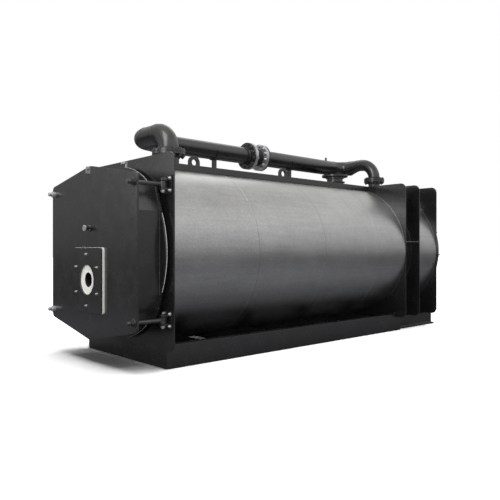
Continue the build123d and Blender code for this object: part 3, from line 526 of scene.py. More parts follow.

# Places read from the CAD parts' boxes
FRONT_Y = low("front_plate")[1]
HINGE_Y = FRONT_Y - HINGE_OFFSET
AXIS_HEIGHT = middle("smoke_box")[2]
CLADDING_RADIUS = high("economizer_cladding")[0]
BARREL_ENDS = (low("shell_barrel")[1], high("shell_barrel")[1])
ECONOMIZER_ENDS = (low("economizer_cladding")[1], high("economizer_cladding")[1])
BURNER = Vector((0, low("burner_plate")[1], middle("burner_plate")[2]))
PIPE = middle("joint_bellows")
JOINT_ENDS = (low("joint_rings")[1], high("joint_rings")[1])
RETURN_Y = middle("return_nozzle")[1]
ECONOMIZER_Y = middle("economizer_nozzle")[1]
ROD_X = high("hinge_brackets")[0] - BRACKET_HALF_WIDTH
ROD_LOW = low("hinge_brackets")[2] + BRACKET_HALF_HEIGHT
ROD_HIGH = high("hinge_brackets")[2] - BRACKET_HALF_HEIGHT
RIM_RADIUS = CLADDING_RADIUS - RING_INSET
LUG_YS = [FRONT_Y + place for place in LUG_PLACES]

UP = Vector((0, 0, 1))
RIGHT = Vector((1, 0, 0))
REAR = Vector((0, 1, 0))
FRONT = -REAR
DOWN = -UP


def on_axis(y):
    """A point on the barrel's axis."""
    return Vector((0, y, AXIS_HEIGHT))


def on_pipe(y):
    """A point on the connecting pipe's axis."""
    return Vector((PIPE[0], y, PIPE[2]))


def outward(angle):
    """The direction away from the barrel's axis at an angle from the right."""
    return Vector((cos(angle), 0, sin(angle)))


def make_mesh_object(name, build, finish, body=BOILER, sharp=radians(32)):
    """A mesh piece: build(bm) fills it, and it rides on its CAD body."""
    bm = bmesh.new()
    build(bm)
    bmesh.ops.recalc_face_normals(bm, faces=bm.faces)
    mesh = bpy.data.meshes.new(name)
    bm.to_mesh(mesh)
    bm.free()
    piece = bpy.data.objects.new(name, mesh)
    bpy.context.scene.collection.objects.link(piece)
    mesh.materials.append(bpy.data.materials[finish])
    mesh.shade_smooth()
    mesh.set_sharp_from_angle(angle=sharp)
    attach(piece, body)


def make_pattern(name, finish, shape, places, body=BOILER, **sizes):
    """A mesh piece that repeats one shape at each place, a matrix."""
    def build(bm):
        for place in places:
            shape(bm, place, **sizes)

    make_mesh_object(name, build, finish, body)


def along(place, direction):
    """A matrix at a place whose Z runs along a direction."""
    turn = Vector(direction).to_track_quat("Z", "Y").to_matrix().to_4x4()
    return Matrix.Translation(place) @ turn


def raised(matrix, height):
    """The same matrix, moved along its own Z."""
    return matrix @ Matrix.Translation((0, 0, height))


def ring_places(centre, axis, radius, count, start=0.0):
    """Points evenly spaced on a circle about an axis."""
    frame_of_ring = along(centre, axis)
    for index in range(count):
        angle = start + 2 * pi * index / count
        yield frame_of_ring @ Vector((radius * cos(angle), radius * sin(angle), 0))


def join_rings(bm, rings, around=False):
    """Skin a row of vertex rings, where a ring of one vertex is a closed end."""
    sides = max(len(ring) for ring in rings)
    pairs = zip(rings, rings[1:] + rings[:1]) if around else zip(rings, rings[1:])
    for lower, upper in pairs:
        for index in range(sides):
            after = (index + 1) % sides
            corners = [lower[index % len(lower)], lower[after % len(lower)],
                       upper[after % len(upper)], upper[index % len(upper)]]
            bm.faces.new(dict.fromkeys(corners))


def cap_ends(bm, rings):
    """Close the first and last ring with a face each."""
    bm.faces.new(rings[0])
    bm.faces.new(rings[-1])


def lathe(bm, matrix, profile, sides=16):
    """Revolve (radius, height) points about the matrix's Z, with both ends closed on the axis."""
    points = [(0, profile[0][1]), *profile]
    if points[-1][0]:
        points.append((0, points[-1][1]))
    rings = []
    for radius, height in points:
        turns = sides if radius else 1
        rings.append([bm.verts.new(matrix @ Vector((radius * cos(2 * pi * index / sides),
                                                    radius * sin(2 * pi * index / sides), height)))
                      for index in range(turns)])
    join_rings(bm, rings)


def hoop(bm, matrix, section, steps=192, start=0.0, sweep=2 * pi):
    """Sweep a section round the matrix's Z: section(step) gives its (radius, height) points."""
    whole = sweep >= 2 * pi
    rings = []
    for step in range(steps if whole else steps + 1):
        angle = start + sweep * step / steps
        rings.append([bm.verts.new(matrix @ Vector((radius * cos(angle), radius * sin(angle), height)))
                      for radius, height in section(step)])
    join_rings(bm, rings, around=whole)
    if not whole:
        cap_ends(bm, rings)


def flat_ring(inner, outer, bottom, top):
    """The section of a flat ring, for hoop."""
    return lambda step: [(inner, bottom), (outer, bottom), (outer, top), (inner, top)]


def hexagon(bm, matrix, across, height, chamfer=0.14):
    """A hexagon head or nut with chamfered corners."""
    corner = across / sqrt(3)
    lathe(bm, matrix, [(corner, 0), (corner, height * (1 - chamfer)), (across / 2 * 0.94, height)], sides=6)


def washer(bm, matrix, size):
    lathe(bm, matrix, [(size, 0), (size * 1.04, size * 0.03), (size * 1.04, size * 0.12),
                       (size, size * 0.15)], sides=24)


def thread(bm, matrix, size, length):
    """The threaded end of a bolt, with a chamfered tip."""
    pitch = size * 0.14
    turns = max(1, round(length / pitch) - 1)
    profile = []
    for turn in range(turns):
        profile += [(size * 0.5, pitch * turn), (size * 0.43, pitch * (turn + 0.5))]
    lathe(bm, matrix, [*profile, (size * 0.5, pitch * turns), (size * 0.38, length)], sides=14)


def bolt_head(bm, matrix, size):
    """A washer and a hexagon head."""
    washer(bm, matrix, size)
    hexagon(bm, raised(matrix, size * 0.15), 1.5 * size, 0.64 * size)


def nut(bm, matrix, size, proud=0.3):
    """A washer and nut with the thread standing proud by a share of its size."""
    washer(bm, matrix, size)
    hexagon(bm, raised(matrix, size * 0.15), 1.5 * size, 0.8 * size)
    thread(bm, raised(matrix, size * 0.95), size, size * proud)


def rivet(bm, matrix, radius):
    """A domed rivet head, sunk a little into the sheet."""
    lathe(bm, matrix, [(radius, -radius * 0.2), (radius, radius * 0.1), (radius * 0.8, radius * 0.45),
                       (radius * 0.4, radius * 0.62), (0, radius * 0.66)], sides=10)


def weld_bead(bm, centre, axis, radius, size):
    """A rippled weld bead round a pipe."""
    ripples = round(2 * pi * radius / (size * 0.85))

    def section(step):
        bulge = size * (0.42 + 0.10 * cos(2 * pi * step / 3))
        return [(radius - size * 0.3, -size), (radius + bulge * 0.6, -size * 0.6), (radius + bulge, 0),
                (radius + bulge * 0.6, size * 0.6), (radius - size * 0.3, size)]

    hoop(bm, along(centre, axis), section, steps=3 * ripples)


def straight_bead(bm, start, end, size):
    """A rippled weld bead along a straight joint."""
    start, end = Vector(start), Vector(end)
    run = end - start
    steps = max(3, round(run.length / (size * 0.5)))
    path = along(start, run)
    rings = []
    for step in range(steps + 1):
        width = size * (0.85 + 0.15 * cos(2 * pi * step / 3))
        rings.append([bm.verts.new(path @ Vector((width * cos(turn * pi / 3), width * sin(turn * pi / 3),
                                                  run.length * step / steps))) for turn in range(6)])
    join_rings(bm, rings)
    cap_ends(bm, rings)


class BOILER_OT_finishes(bpy.types.Operator):
    """Make the finishes and put them on the boiler's own pieces"""
    bl_idname = "boiler.finishes"
    bl_label = "Finishes"

    def execute(self, context):
        for make_group in (grain_group, edge_wear_group, dust_group):
            make_group()
        for name, (build, node_names, _) in FINISHES.items():
            material = finish_material(name, build)
            for node_name in node_names:
                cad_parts[node_name].material_slots[0].material = material
        return {"FINISHED"}


class BOILER_OT_flange_bolts(bpy.types.Operator):
    """Bolt and gasket the two flanged joints on top of the boiler"""
    bl_idname = "boiler.flange_bolts"
    bl_label = "Flange bolts"

    def execute(self, context):
        fit = context.scene.boiler_fittings
        joints = []
        for nozzle, riser, count in (("return_nozzle", "front_riser", fit.flange_bolts),
                                     ("economizer_nozzle", "rear_riser", fit.small_flange_bolts)):
            radius = (high(nozzle)[0] - low(nozzle)[0]) / 2
            face = Vector((0, middle(nozzle)[1], low(riser)[2]))
            joints.append((face, low(riser)[2] - high(nozzle)[2], radius, count))

        def bolts(bm):
            """Heads on the upper flange and nuts under the lower one."""
            for face, gap, radius, count in joints:
                top = face + fit.flange_thickness * UP
                grip = 2 * fit.flange_thickness + gap
                for place in ring_places(top, UP, radius - fit.bolt_edge, count, start=pi / count):
                    bolt_head(bm, along(place, UP), fit.bolt_size)
                    nut(bm, along(place - grip * UP, DOWN), fit.bolt_size)

        def gaskets(bm):
            for face, gap, radius, _ in joints:
                section = flat_ring(radius - 3 * fit.bolt_edge, radius - 1.6 * fit.bolt_edge, -gap, 0)
                hoop(bm, along(face, UP), section, steps=96)

        make_mesh_object("flange_bolts", bolts, "Blackened steel")
        make_mesh_object("flange_gaskets", gaskets, "Graphite gasket")
        return {"FINISHED"}


class BOILER_OT_joint_bolts(bpy.types.Operator):
    """Bolt the expansion joint into the connecting pipe, with the rubber's rims between ring and flange"""
    bl_idname = "boiler.joint_bolts"
    bl_label = "Expansion joint bolts"

    def execute(self, context):
        fit = context.scene.boiler_fittings
        ends = list(zip(JOINT_ENDS, (FRONT, REAR)))
        radius = high("joint_rings")[2] - PIPE[2] - fit.bolt_edge

        def places(rise, way):
            """Bolt places on each end's circle, risen outwards from the ring's outer face."""
            for end_y, axis in ends:
                centre = on_pipe(end_y) + rise * axis
                for place in ring_places(centre, axis, radius, fit.flange_bolts, start=pi / fit.flange_bolts):
                    yield along(place, way * axis)

        rims = [along(on_pipe(end_y), axis) for end_y, axis in ends]
        rim_section = flat_ring(fit.pipe_radius, radius - fit.bolt_edge, -0.002, 0.0015)
        make_pattern("joint_bolt_heads", "Blackened steel", bolt_head, places(fit.flange_thickness, 1),
                     size=fit.bolt_size)
        make_pattern("joint_nuts", "Zinc plate", nut, places(-fit.ring_thickness, -1), size=fit.bolt_size)
        make_pattern("joint_rubber_rims", "Bellows rubber", hoop, rims, section=rim_section, steps=96)
        return {"FINISHED"}


class BOILER_OT_door_fasteners(bpy.types.Operator):
    """Fasten the door's brackets, tie rods and hinge pins"""
    bl_idname = "boiler.door_fasteners"
    bl_label = "Door fasteners"

    def execute(self, context):
        rods = list(product((ROD_X, -ROD_X), (ROD_LOW, ROD_HIGH)))
        bolt_across, bolt_rise = 0.048, 0.055
        brackets = [along((x + across, FRONT_Y - BRACKET_THICKNESS, height + rise), FRONT)
                    for x, height in rods
                    for across, rise in product((-bolt_across, bolt_across), (-bolt_rise, bolt_rise))]
        pins = [along((ROD_X, HINGE_Y, height - PIN_HALF_LENGTH), DOWN) for height in (ROD_LOW, ROD_HIGH)]
        make_pattern("bracket_bolts", "Zinc plate", nut, brackets, size=0.016, proud=0.45)
        make_pattern("hinge_pin_nuts", "Zinc plate", nut, pins, size=0.024)

        cover_y = high("cover_eye")[1]
        rod_places = [along((x, cover_y, height), FRONT) for x, height in rods]
        hinge_rods, clamp_rods = rod_places[:2], rod_places[2:]
        sunk, proud, chamfer = 0.001, 0.0005, 0.003
        tip_length = cover_y - ROD_NUT + sunk + proud - low("tie_rods")[1]
        radius, thickness, lip = 0.040, 0.006, 0.001
        ring = [(radius, 0), (radius + lip, lip), (radius + lip, thickness - lip), (radius, thickness)]
        threads = [raised(place, ROD_NUT - sunk) for place in hinge_rods]
        make_pattern("tie_rod_washers", "Blackened steel", lathe, hinge_rods, DOOR, profile=ring, sides=32)
        make_pattern("hinge_rod_tips", "Blackened steel", thread, threads, DOOR, size=ROD_THREAD,
                     length=tip_length)

        # A sleeve over each clamping nut, and a smooth rod end
        sleeve_radius, rod_radius, end_radius = 0.032, 0.0202, 0.0175
        shoulder, tip = ROD_NUT + sunk, ROD_NUT + tip_length
        clamp_profile = [(sleeve_radius, 0), (sleeve_radius, shoulder), (rod_radius, shoulder + chamfer),
                         (rod_radius, tip - chamfer), (end_radius, tip)]
        make_pattern("clamp_rod_tips", "Zinc plate", lathe, clamp_rods, DOOR, profile=clamp_profile, sides=32)
        return {"FINISHED"}


class BOILER_OT_burner_plate(bpy.types.Operator):
    """Set the studs and nuts on the burner plate"""
    bl_idname = "boiler.burner_plate"
    bl_label = "Burner studs"

    def execute(self, context):
        fit = context.scene.boiler_fittings
        places = ring_places(BURNER, FRONT, fit.stud_circle, fit.stud_count, start=pi / 2)
        make_pattern("burner_studs", "Zinc plate", nut, [along(place, FRONT) for place in places], DOOR,
                     size=0.012, proud=0.7)
        return {"FINISHED"}


def casing_edges(y):
    """The straight edges of the ten-sided door casing at one Y, as pairs of points."""
    half_width = high("door_casing")[0]
    peak = high("door_casing")[2] - AXIS_HEIGHT
    shoulder_x = half_width - SHOULDER_INSET
    shoulder_z = RIM_RADIUS - SHOULDER_DROP
    side_z = sqrt(RIM_RADIUS ** 2 - half_width ** 2)
    right = [(0, peak), (shoulder_x, shoulder_z), (half_width, side_z), (half_width, -side_z),
             (shoulder_x, -shoulder_z), (0, -peak)]
    outline = right + [(-x, z) for x, z in reversed(right[1:-1])]
    corners = [Vector((x, y, AXIS_HEIGHT + z)) for x, z in outline]
    return zip(corners, corners[1:] + corners[:1])


class BOILER_OT_door_trim(bpy.types.Operator):
    """Add a painted highlight band on the door ring's rim, the casing's weld and the sight glass"""
    bl_idname = "boiler.door_trim"
    bl_label = "Door rim, weld and sight glass"

    def execute(self, context):
        lift, bead_size = 0.002, 0.006

        def casing_weld(bm):
            for start, end in casing_edges(low("door_ring")[1] - lift):
                straight_bead(bm, start, end, bead_size)

        # A thin off-white band round the door ring's front edge, in the refractory finish: a painted
        # highlight of the ring's rim.
        rim = along(on_axis(high("door_ring")[1]), FRONT)
        rim_section = flat_ring(RIM_RADIUS - 0.004, RIM_RADIUS + 0.0015, -0.0003, 0.005)
        make_pattern("door_ring_rim", "Cast refractory", hoop, [rim], DOOR, section=rim_section)
        make_mesh_object("door_casing_weld", casing_weld, "Black stove paint", DOOR)

        x, _, z = middle("sight_glass")
        sight = along((x, low("sight_glass")[1], z), FRONT)
        cap_radius, knurl, face = 0.0292, 0.0008, 0.0125

        def cap(step):
            """The section of the screwed cap that holds the glass, knurled round its side."""
            side = cap_radius - knurl * (step % 2)
            return [(0.0265, 0), (side, 0), (side, face - 0.002), (0.0275, face), (0.010, face),
                    (0.009, face - 0.0007), (0.009, face - 0.0012)]

        lens = [(0.0085, -0.004), (0.0085, -0.001), (0.006, 0.0004), (0, 0.0008)]
        base = (x, high("sight_glass")[1] - 0.010, z)
        screws = [along(place, FRONT) for place in ring_places(base, FRONT, 0.0275, 4, start=pi / 4)]
        make_pattern("sight_glass_cap", "Zinc plate", hoop, [raised(sight, 0.001 - face)], DOOR,
                     section=cap, steps=72)
        make_pattern("sight_glass_lens", "Sight glass lens", lathe, [sight], DOOR, profile=lens, sides=32)
        make_pattern("sight_glass_screws", "Zinc plate", bolt_head, screws, DOOR, size=0.005)
        return {"FINISHED"}


class BOILER_OT_clamp_screws(bpy.types.Operator):
    """Clamp the rear cover down with screws round its rim"""
    bl_idname = "boiler.clamp_screws"
    bl_label = "Rear cover clamps"

    def execute(self, context):
        fit = context.scene.boiler_fittings
        centre = on_axis(low("rear_cover")[1] + 0.022)
        cover_radius = high("rear_cover")[0]
        radius, height, chamfer, sunk = 0.016, 0.015, 0.002, 0.003
        boss = [(radius, 0), (radius, height - chamfer), (radius - chamfer, height)]

        def places(rise):
            """Matrices round the rim that face outwards, risen from the cover."""
            for index in range(fit.clamp_count):
                away = outward(fit.clamp_start + 2 * pi * index / fit.clamp_count)
                yield along(centre + cover_radius * away + rise * away, away)

        make_pattern("rear_cover_screws", "Blackened steel", nut, places(height - sunk), size=0.018,
                     proud=0.9)
        make_pattern("rear_cover_bosses", "Black stove paint", lathe, places(-sunk), profile=boss, sides=20)
        return {"FINISHED"}


def cladding_frame(y):
    """A matrix on the barrel's axis whose Z runs to the rear and whose X runs right."""
    return Matrix.Translation((0, y, AXIS_HEIGHT)) @ Matrix.Rotation(-pi / 2, 4, "X")


class BOILER_OT_cladding_seams(bpy.types.Operator):
    """Cover the cladding joints with riveted straps and a painted shadow line behind each, and trim the ends
    """
    bl_idname = "boiler.cladding_seams"
    bl_label = "Cladding seams"

    def execute(self, context):
        fit = context.scene.boiler_fittings
        joints = []
        joint_y = BARREL_ENDS[0] + fit.sheet_length
        while joint_y < BARREL_ENDS[1]:
            joints.append(joint_y)
            joint_y += fit.sheet_length
        marks = [BARREL_ENDS[0], *joints, BARREL_ENDS[1]]
        sheets = [*zip(marks, marks[1:]), ECONOMIZER_ENDS]
        half, edge, bead_radius, seam_shadow_width = fit.strap_width / 2, 0.005, 0.0035, 0.003
        below = CLADDING_RADIUS - 0.001
        face = CLADDING_RADIUS + 0.0012
        bead_top = face + 0.6 * bead_radius

        # Straps taper up to a rolled edge
        strap = [(below, -2 * half), (CLADDING_RADIUS + 0.0002, -2 * half), (face, -half),
                 (face, -bead_radius), (bead_top, -0.3 * bead_radius), (bead_top, 0.3 * bead_radius),
                 (below, bead_radius)]
        # A dark hoop just behind each strap's rolled edge, in the rubber finish: a painted shadow of the
        # seam's gap.
        seam_painted_shadow = flat_ring(below, CLADDING_RADIUS + 0.0006, bead_radius, bead_radius + seam_shadow_width)
        trim = flat_ring(below, CLADDING_RADIUS + 0.002, -edge, 0.007)
        seam_frames = [cladding_frame(y) for y in joints]
        trim_frames = [cladding_frame(y) for start, end in (BARREL_ENDS, ECONOMIZER_ENDS)
                       for y in (start + edge, end - edge)]

        def rivets():
            count = round(2 * pi * CLADDING_RADIUS / fit.rivet_pitch)
            for y in joints:
                for place in ring_places(on_axis(y - half * 0.8), REAR, face, count):
                    away = Vector((place[0], 0, place[2] - AXIS_HEIGHT)).normalized()
                    yield along(place, away)

        def lap_angles():
            """Each sheet's start and end, and the angle of its staggered lap."""
            for index, (start, end) in enumerate(sheets):
                yield start, end, LAP_ANGLE + (index % 2) * LAP_STAGGER

        def laps(bm):
            for start, end, angle in lap_angles():
                section = flat_ring(below, face, half, end - start - half)
                hoop(bm, cladding_frame(start), section, steps=6, start=-angle,
                     sweep=LAP_WIDTH / CLADDING_RADIUS)

        def lap_screws():
            for start, end, angle in lap_angles():
                away = outward(angle)
                count = round((end - start) / fit.rivet_pitch)
                for step in range(count):
                    yield along(on_axis(start + (end - start) * (step + 0.5) / count) + face * away, away)

        make_pattern("cladding_straps", "Embossed aluminium", hoop, seam_frames, section=lambda step: strap)
        # The painted shadow line behind each strap.
        make_pattern("cladding_sealant", "Bellows rubber", hoop, seam_frames, section=seam_painted_shadow)
        make_pattern("cladding_trims", "Embossed aluminium", hoop, trim_frames, section=trim)
        make_pattern("cladding_rivets", "Zinc plate", rivet, rivets(), radius=0.0035)
        make_mesh_object("cladding_laps", laps, "Embossed aluminium")
        make_pattern("cladding_lap_screws", "Zinc plate", bolt_head, lap_screws(), size=0.0055)
        return {"FINISHED"}


class BOILER_OT_welds(bpy.types.Operator):
    """Lay the weld beads on the pipes, lugs, boxes and supports"""
    bl_idname = "boiler.welds"
    bl_label = "Weld beads"

    def execute(self, context):
        fit = context.scene.boiler_fittings
        pipe, small_pipe = fit.pipe_radius, fit.small_pipe_radius
        size, bend = fit.weld_size, fit.bend_radius
        bend_x = PIPE[0] + bend
        small_height = PIPE[2] + pipe - small_pipe
        neck = fit.flange_thickness + fit.hub_reach
        stub = (middle("pipe_rear")[0], ECONOMIZER_Y - STUB_BACK, PIPE[2] + pipe)
        lift, lug_half_thickness, lug_bead = 0.001, 0.013, 0.006

        # Beads round the pipes: centre, axis, radius and size
        pipes = [(on_pipe(y), REAR, pipe, size)
                 for y in (JOINT_ENDS[0] - neck, JOINT_ENDS[1] + neck, RETURN_Y + bend, ECONOMIZER_Y - bend)]
        pipes += [((x, y, PIPE[2]), RIGHT, pipe, size)
                  for x, y in ((bend_x, RETURN_Y), (-bend, RETURN_Y), (bend_x, ECONOMIZER_Y))]
        pipes.append(((0, RETURN_Y, PIPE[2] - bend), UP, pipe, size))
        pipes += [((x, ECONOMIZER_Y, small_height), RIGHT, small_pipe, size)
                  for x in (bend_x + fit.reducer_length, -fit.small_bend_radius)]
        pipes += [((0, middle(nozzle)[1], high(nozzle)[2] - neck), UP, radius, size)
                  for nozzle, radius in (("return_nozzle", pipe), ("flow_nozzle", pipe),
                                         ("economizer_nozzle", small_pipe))]
        pipes.append((stub, UP, STUB_RADIUS, 0.005))

        # Beads round the smoke box's ends, the flue spigot and the front collar
        barrels = [(on_axis(y), REAR, radius, size)
                   for y, radius in ((low("smoke_box")[1] + lift, high("smoke_box")[0]),
                                     (high("smoke_box")[1] - lift, high("smoke_box")[0]),
                                     (high("rear_cover")[1] + 2 * lift, FLUE_RADIUS),
                                     (FRONT_Y - lift, high("front_collar")[0]))]

        def lug_beads(bm):
            """A bead along each foot of each lifting lug."""
            height = high("walkway_deck")[2] + 2 * lift
            half_length = LUG_HALF_LENGTH * REAR
            for y, x in product(LUG_YS, (-lug_half_thickness, lug_half_thickness)):
                foot = Vector((x, y, height))
                straight_bead(bm, foot - half_length, foot + half_length, lug_bead)

        for name, build in (("pipe_welds", lambda bm: [weld_bead(bm, *bead) for bead in pipes]),
                            ("lug_welds", lug_beads),
                            ("round_welds", lambda bm: [weld_bead(bm, *bead) for bead in barrels])):
            make_mesh_object(name, build, "Black stove paint")
        return {"FINISHED"}


def tread_bar(bm, matrix):
    """One raised bar of the deck's tread, with tapered ends."""
    half_length, half_width, height, sunk = 0.014, 0.0032, 0.0016, 0.0004
    outline = [(-half_length, 0), (0, -half_width), (half_length, 0), (0, half_width)]
    bottom = [bm.verts.new(matrix @ Vector((x, y, -sunk))) for x, y in outline]
    top = [bm.verts.new(matrix @ Vector((x * 0.72, y * 0.6, height))) for x, y in outline]
    join_rings(bm, [bottom, top])
    cap_ends(bm, [top, bottom])


class BOILER_OT_deck_tread(bpy.types.Operator):
    """Raise the tread pattern on the walkway deck"""
    bl_idname = "boiler.deck_tread"
    bl_label = "Deck tread"

    def execute(self, context):
        deck_low, deck_high = low("walkway_deck"), high("walkway_deck")
        pitch = 0.042
        rows = int((deck_high[1] - deck_low[1] - 2 * pitch) / pitch)
        columns = int((deck_high[0] - deck_low[0] - pitch) / pitch)
        keep_outs = [(middle(name)[1], 0.13) for name in ("return_nozzle", "flow_nozzle")]
        keep_outs += [(lug_y, 0.11) for lug_y in LUG_YS]

        def places():
            """Places in rows and columns, turned by turns, but not under nozzles and lugs."""
            for row, column in product(range(rows), range(columns)):
                x = (column - (columns - 1) / 2) * pitch
                y = deck_low[1] + pitch * (row + 1.25)
                if not any(abs(y - keep_y) < reach and abs(x) < reach for keep_y, reach in keep_outs):
                    turn = pi / 4 if (row + column) % 2 else -pi / 4
                    yield Matrix.Translation((x, y, deck_high[2])) @ Matrix.Rotation(turn, 4, "Z")

        make_pattern("deck_tread", "Black stove paint", tread_bar, places())
        return {"FINISHED"}


class BOILER_OT_tie_bar_nuts(bpy.types.Operator):
    """Put nuts on the tie bars between boiler and economizer"""
    bl_idname = "boiler.tie_bar_nuts"
    bl_label = "Tie bar nuts"

    def execute(self, context):
        bar_x = high("tie_bars")[0] - TIE_BAR_RADIUS
        washer_size, across, height = 0.020, 0.032, 0.016

        def nuts(bm):
            for x in (bar_x, -bar_x):
                for y, axis in ((low("tie_bars")[1], REAR), (high("tie_bars")[1], FRONT)):
                    place = along((x, y, middle("tie_bars")[2]), axis)
                    washer(bm, place, washer_size)
                    hexagon(bm, raised(place, washer_size * 0.15), across, height)

        make_mesh_object("tie_bar_nuts", nuts, "Blackened steel")
        return {"FINISHED"}


DIM_SIDE = Vector((-0.8, -0.6, 0))
DIM_BACK = Vector((-0.8, 0.6, 0))


def studio_world(stage):
    """White to the camera; a soft gradient from grey walls to a bright ceiling for light."""
    world = bpy.data.worlds.new("Studio")
    bpy.context.scene.world = world
    world.use_nodes = True
    nodes = Nodes(world.node_tree)
    direction = nodes.add("ShaderNodeTexCoord").outputs["Generated"]
    height = nodes.add("ShaderNodeSeparateXYZ", {0: direction}).outputs["Z"]
    walls = nodes.ramp(height, (0.0, 0.43), (0.1, 0.52), (0.28, (0.71, 0.71, 0.715)),
                       (0.48, (0.93, 0.93, 0.925)), (0.62, (0.93, 0.925, 0.91)),
                       (0.76, (0.70, 0.695, 0.68)), (1.0, (0.76, 0.75, 0.735)))
    for dim_way, begins, full, level in ((DIM_SIDE, 0.45, 0.85, stage.dim_side_level),
                                         (DIM_BACK, 0.78, 0.93, stage.dim_back_level)):
        facing = nodes.vector("DOT_PRODUCT", direction, dim_way, output="Value")
        walls = nodes.multiply(walls, nodes.ramp(facing, (begins, 1), (full, level)))
    fill = nodes.background((1, 1, 1, 1), stage.fill_level)
    mirrored = nodes.background(walls, 1.0)
    white = nodes.background((1, 1, 1, 1), 1.0)
    path = nodes.add("ShaderNodeLightPath").outputs
    sharp = nodes.math("MAXIMUM", path["Is Glossy Ray"], path["Is Transmission Ray"])
    unseen = nodes.mix_shader(sharp, fill, mirrored)
    seen = nodes.mix_shader(path["Is Camera Ray"], unseen, white)
    nodes.add("ShaderNodeOutputWorld", {"Surface": seen})


def floor_material(stage):
    """Pale floor that shows white to the camera and keeps the shadow, with painted shade in what the boiler
    mirrors.
    """
    material = bpy.data.materials.new("Studio floor")
    material.use_nodes = True
    nodes = Nodes(material.node_tree)
    place = nodes.object_place()
    distance = nodes.vector("LENGTH", place, output="Value")
    # What the boiler mirrors is painted darker with distance, and painted darker beside the boiler as a
    # painted shadow; the camera sees neither.
    lit = nodes.ramp(nodes.math("DIVIDE", distance, stage.floor_reach), (0.25, 1), (1.0, 0.22))
    across = nodes.math("ABSOLUTE", nodes.add("ShaderNodeSeparateXYZ", {0: place}).outputs["X"])
    beside = nodes.ramp(nodes.math("DIVIDE", across, stage.floor_reach), (0.13, stage.near_floor_level),
                        (0.20, 1))
    bounce = nodes.multiply(nodes.multiply(lit, beside), stage.floor_bounce)
    dull = nodes.add("ShaderNodeBsdfDiffuse", {"Color": bounce}).outputs[0]
    bright = nodes.add("ShaderNodeBsdfDiffuse", {"Color": (*[stage.floor_gain] * 3, 1)}).outputs[0]
    path = nodes.add("ShaderNodeLightPath").outputs
    surface = nodes.mix_shader(path["Is Camera Ray"], dull, bright)
    nodes.add("ShaderNodeOutputMaterial", {"Surface": surface})
    return material


def aim(place, target):
    """A matrix that stands at place and looks at target along its own -Z."""
    direction = Vector(target) - Vector(place)
    return Matrix.Translation(place) @ direction.to_track_quat("-Z", "Y").to_matrix().to_4x4()


# Each lamp: name, place, target, size, property with its power, and whether shiny surfaces mirror it
LAMPS = (
    ("Front lamp", (-1.0, -9.5, 1.5), (0, 0, 1.0), (4.0, 2.0), "front_power", False),
    ("Side lamp", (7.5, -4.5, 2.0), (0, -1.5, 1.0), (2.0, 2.0), "side_power", False),
    ("Shine softbox", (2.4, -8.7, 5.5), (0, -1, 1.5), (4.0, 6.0), "shine_power", True),
    ("Rim softbox", (-3.6, 2.9, 7.0), (0, -0.5, 1.8), (3.0, 3.0), "rim_power", True),
    ("Plate softbox", (-6.2, -9.5, 3.2), (0.8, 2.3, 1.7), (3.0, 2.0), "plate_power", True),
    ("Overhead softbox", (1.0, -4.6, 6.5), (0, -1.8, 2.2), (3.0, 2.5), "overhead_power", True),
)


def soft_lamp(name, place, target, size, power, mirrored, spared):
    """A rectangular lamp that spares the floor, and shows in shiny surfaces only where mirrored."""
    lamp = bpy.data.lights.new(name, "AREA")
    lamp.shape = "RECTANGLE"
    lamp.size, lamp.size_y = size
    lamp.energy = power
    holder = bpy.data.objects.new(name, lamp)
    holder.visible_glossy = mirrored
    holder.matrix_world = aim(place, target)
    bpy.context.scene.collection.objects.link(holder)
    holder.light_linking.receiver_collection = spared


def overhead_sun(stage):
    """A very soft sun that lights the floor evenly and casts the boiler's shadow."""
    sun = bpy.data.lights.new("Overhead sun", "SUN")
    sun.energy = stage.sun_power
    sun.angle = stage.sun_softness
    holder = bpy.data.objects.new("Overhead sun", sun)
    holder.visible_glossy = False
    holder.matrix_world = aim(stage.sun_place, (0, 0, 0))
    bpy.context.scene.collection.objects.link(holder)


def floor_spared(floor):
    """A collection that tells a lamp to light everything but the floor."""
    spared = bpy.data.collections.new("All but the floor")
    spared.objects.link(floor)
    spared.collection_objects[0].light_linking.link_state = "EXCLUDE"
    return spared


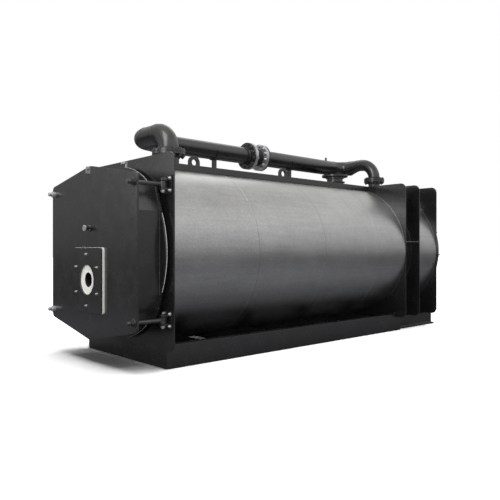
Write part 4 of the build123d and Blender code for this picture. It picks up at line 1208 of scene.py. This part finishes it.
class BOILER_OT_stage(bpy.types.Operator):
    """Build the floor, the lamps and the camera"""
    bl_idname = "boiler.stage"
    bl_label = "Stage"

    def execute(self, context):
        stage = context.scene.boiler_stage
        context.scene.view_settings.view_transform = "Standard"
        studio_world(stage)
        mesh = bpy.data.meshes.new("floor")
        reach = 60
        corners = [(-reach, -reach, 0), (reach, -reach, 0), (reach, reach, 0), (-reach, reach, 0)]
        mesh.from_pydata(corners, [], [(0, 1, 2, 3)])
        mesh.materials.append(floor_material(stage))
        floor = bpy.data.objects.new("floor", mesh)
        context.scene.collection.objects.link(floor)
        spared = floor_spared(floor)
        for name, place, target, size, power, mirrored in LAMPS:
            soft_lamp(name, place, target, size, getattr(stage, power), mirrored, spared)
        overhead_sun(stage)
        camera_data = bpy.data.cameras.new("Camera")
        camera_data.sensor_width = 36
        camera_data.lens = stage.lens
        camera_data.shift_y = (stage.horizon_row - PHOTO_SIZE / 2) / PHOTO_SIZE
        camera = bpy.data.objects.new("Camera", camera_data)
        camera.location = stage.camera_place
        camera.rotation_euler = (pi / 2, 0, stage.camera_turn)
        context.scene.collection.objects.link(camera)
        context.scene.camera = camera
        return {"FINISHED"}


class BOILER_PT_panel(bpy.types.Panel):
    """The boiler's operators, in the order they run"""
    bl_idname = "BOILER_PT_panel"
    bl_label = "Boiler"
    bl_space_type = "VIEW_3D"
    bl_region_type = "UI"
    bl_category = "Boiler"

    def draw(self, context):
        for operator in STEPS:
            self.layout.operator(operator.bl_idname)


STEPS = (BOILER_OT_stage, BOILER_OT_finishes, BOILER_OT_flange_bolts, BOILER_OT_joint_bolts,
         BOILER_OT_door_fasteners, BOILER_OT_burner_plate, BOILER_OT_door_trim, BOILER_OT_clamp_screws,
         BOILER_OT_cladding_seams, BOILER_OT_welds, BOILER_OT_deck_tread, BOILER_OT_tie_bar_nuts)
CLASSES = (BoilerFinish, BoilerFittings, BoilerStage, *STEPS, BOILER_PT_panel)


def register():
    for cls in CLASSES:
        bpy.utils.register_class(cls)
    bpy.types.Scene.boiler_finish = PointerProperty(type=BoilerFinish)
    bpy.types.Scene.boiler_fittings = PointerProperty(type=BoilerFittings)
    bpy.types.Scene.boiler_stage = PointerProperty(type=BoilerStage)


def unregister():
    del bpy.types.Scene.boiler_stage
    del bpy.types.Scene.boiler_fittings
    del bpy.types.Scene.boiler_finish
    for cls in reversed(CLASSES):
        bpy.utils.unregister_class(cls)


def main():
    register()
    for step in STEPS:
        group, name = step.bl_idname.split(".")
        getattr(getattr(bpy.ops, group), name)()


if __name__ == "__main__":
    main()
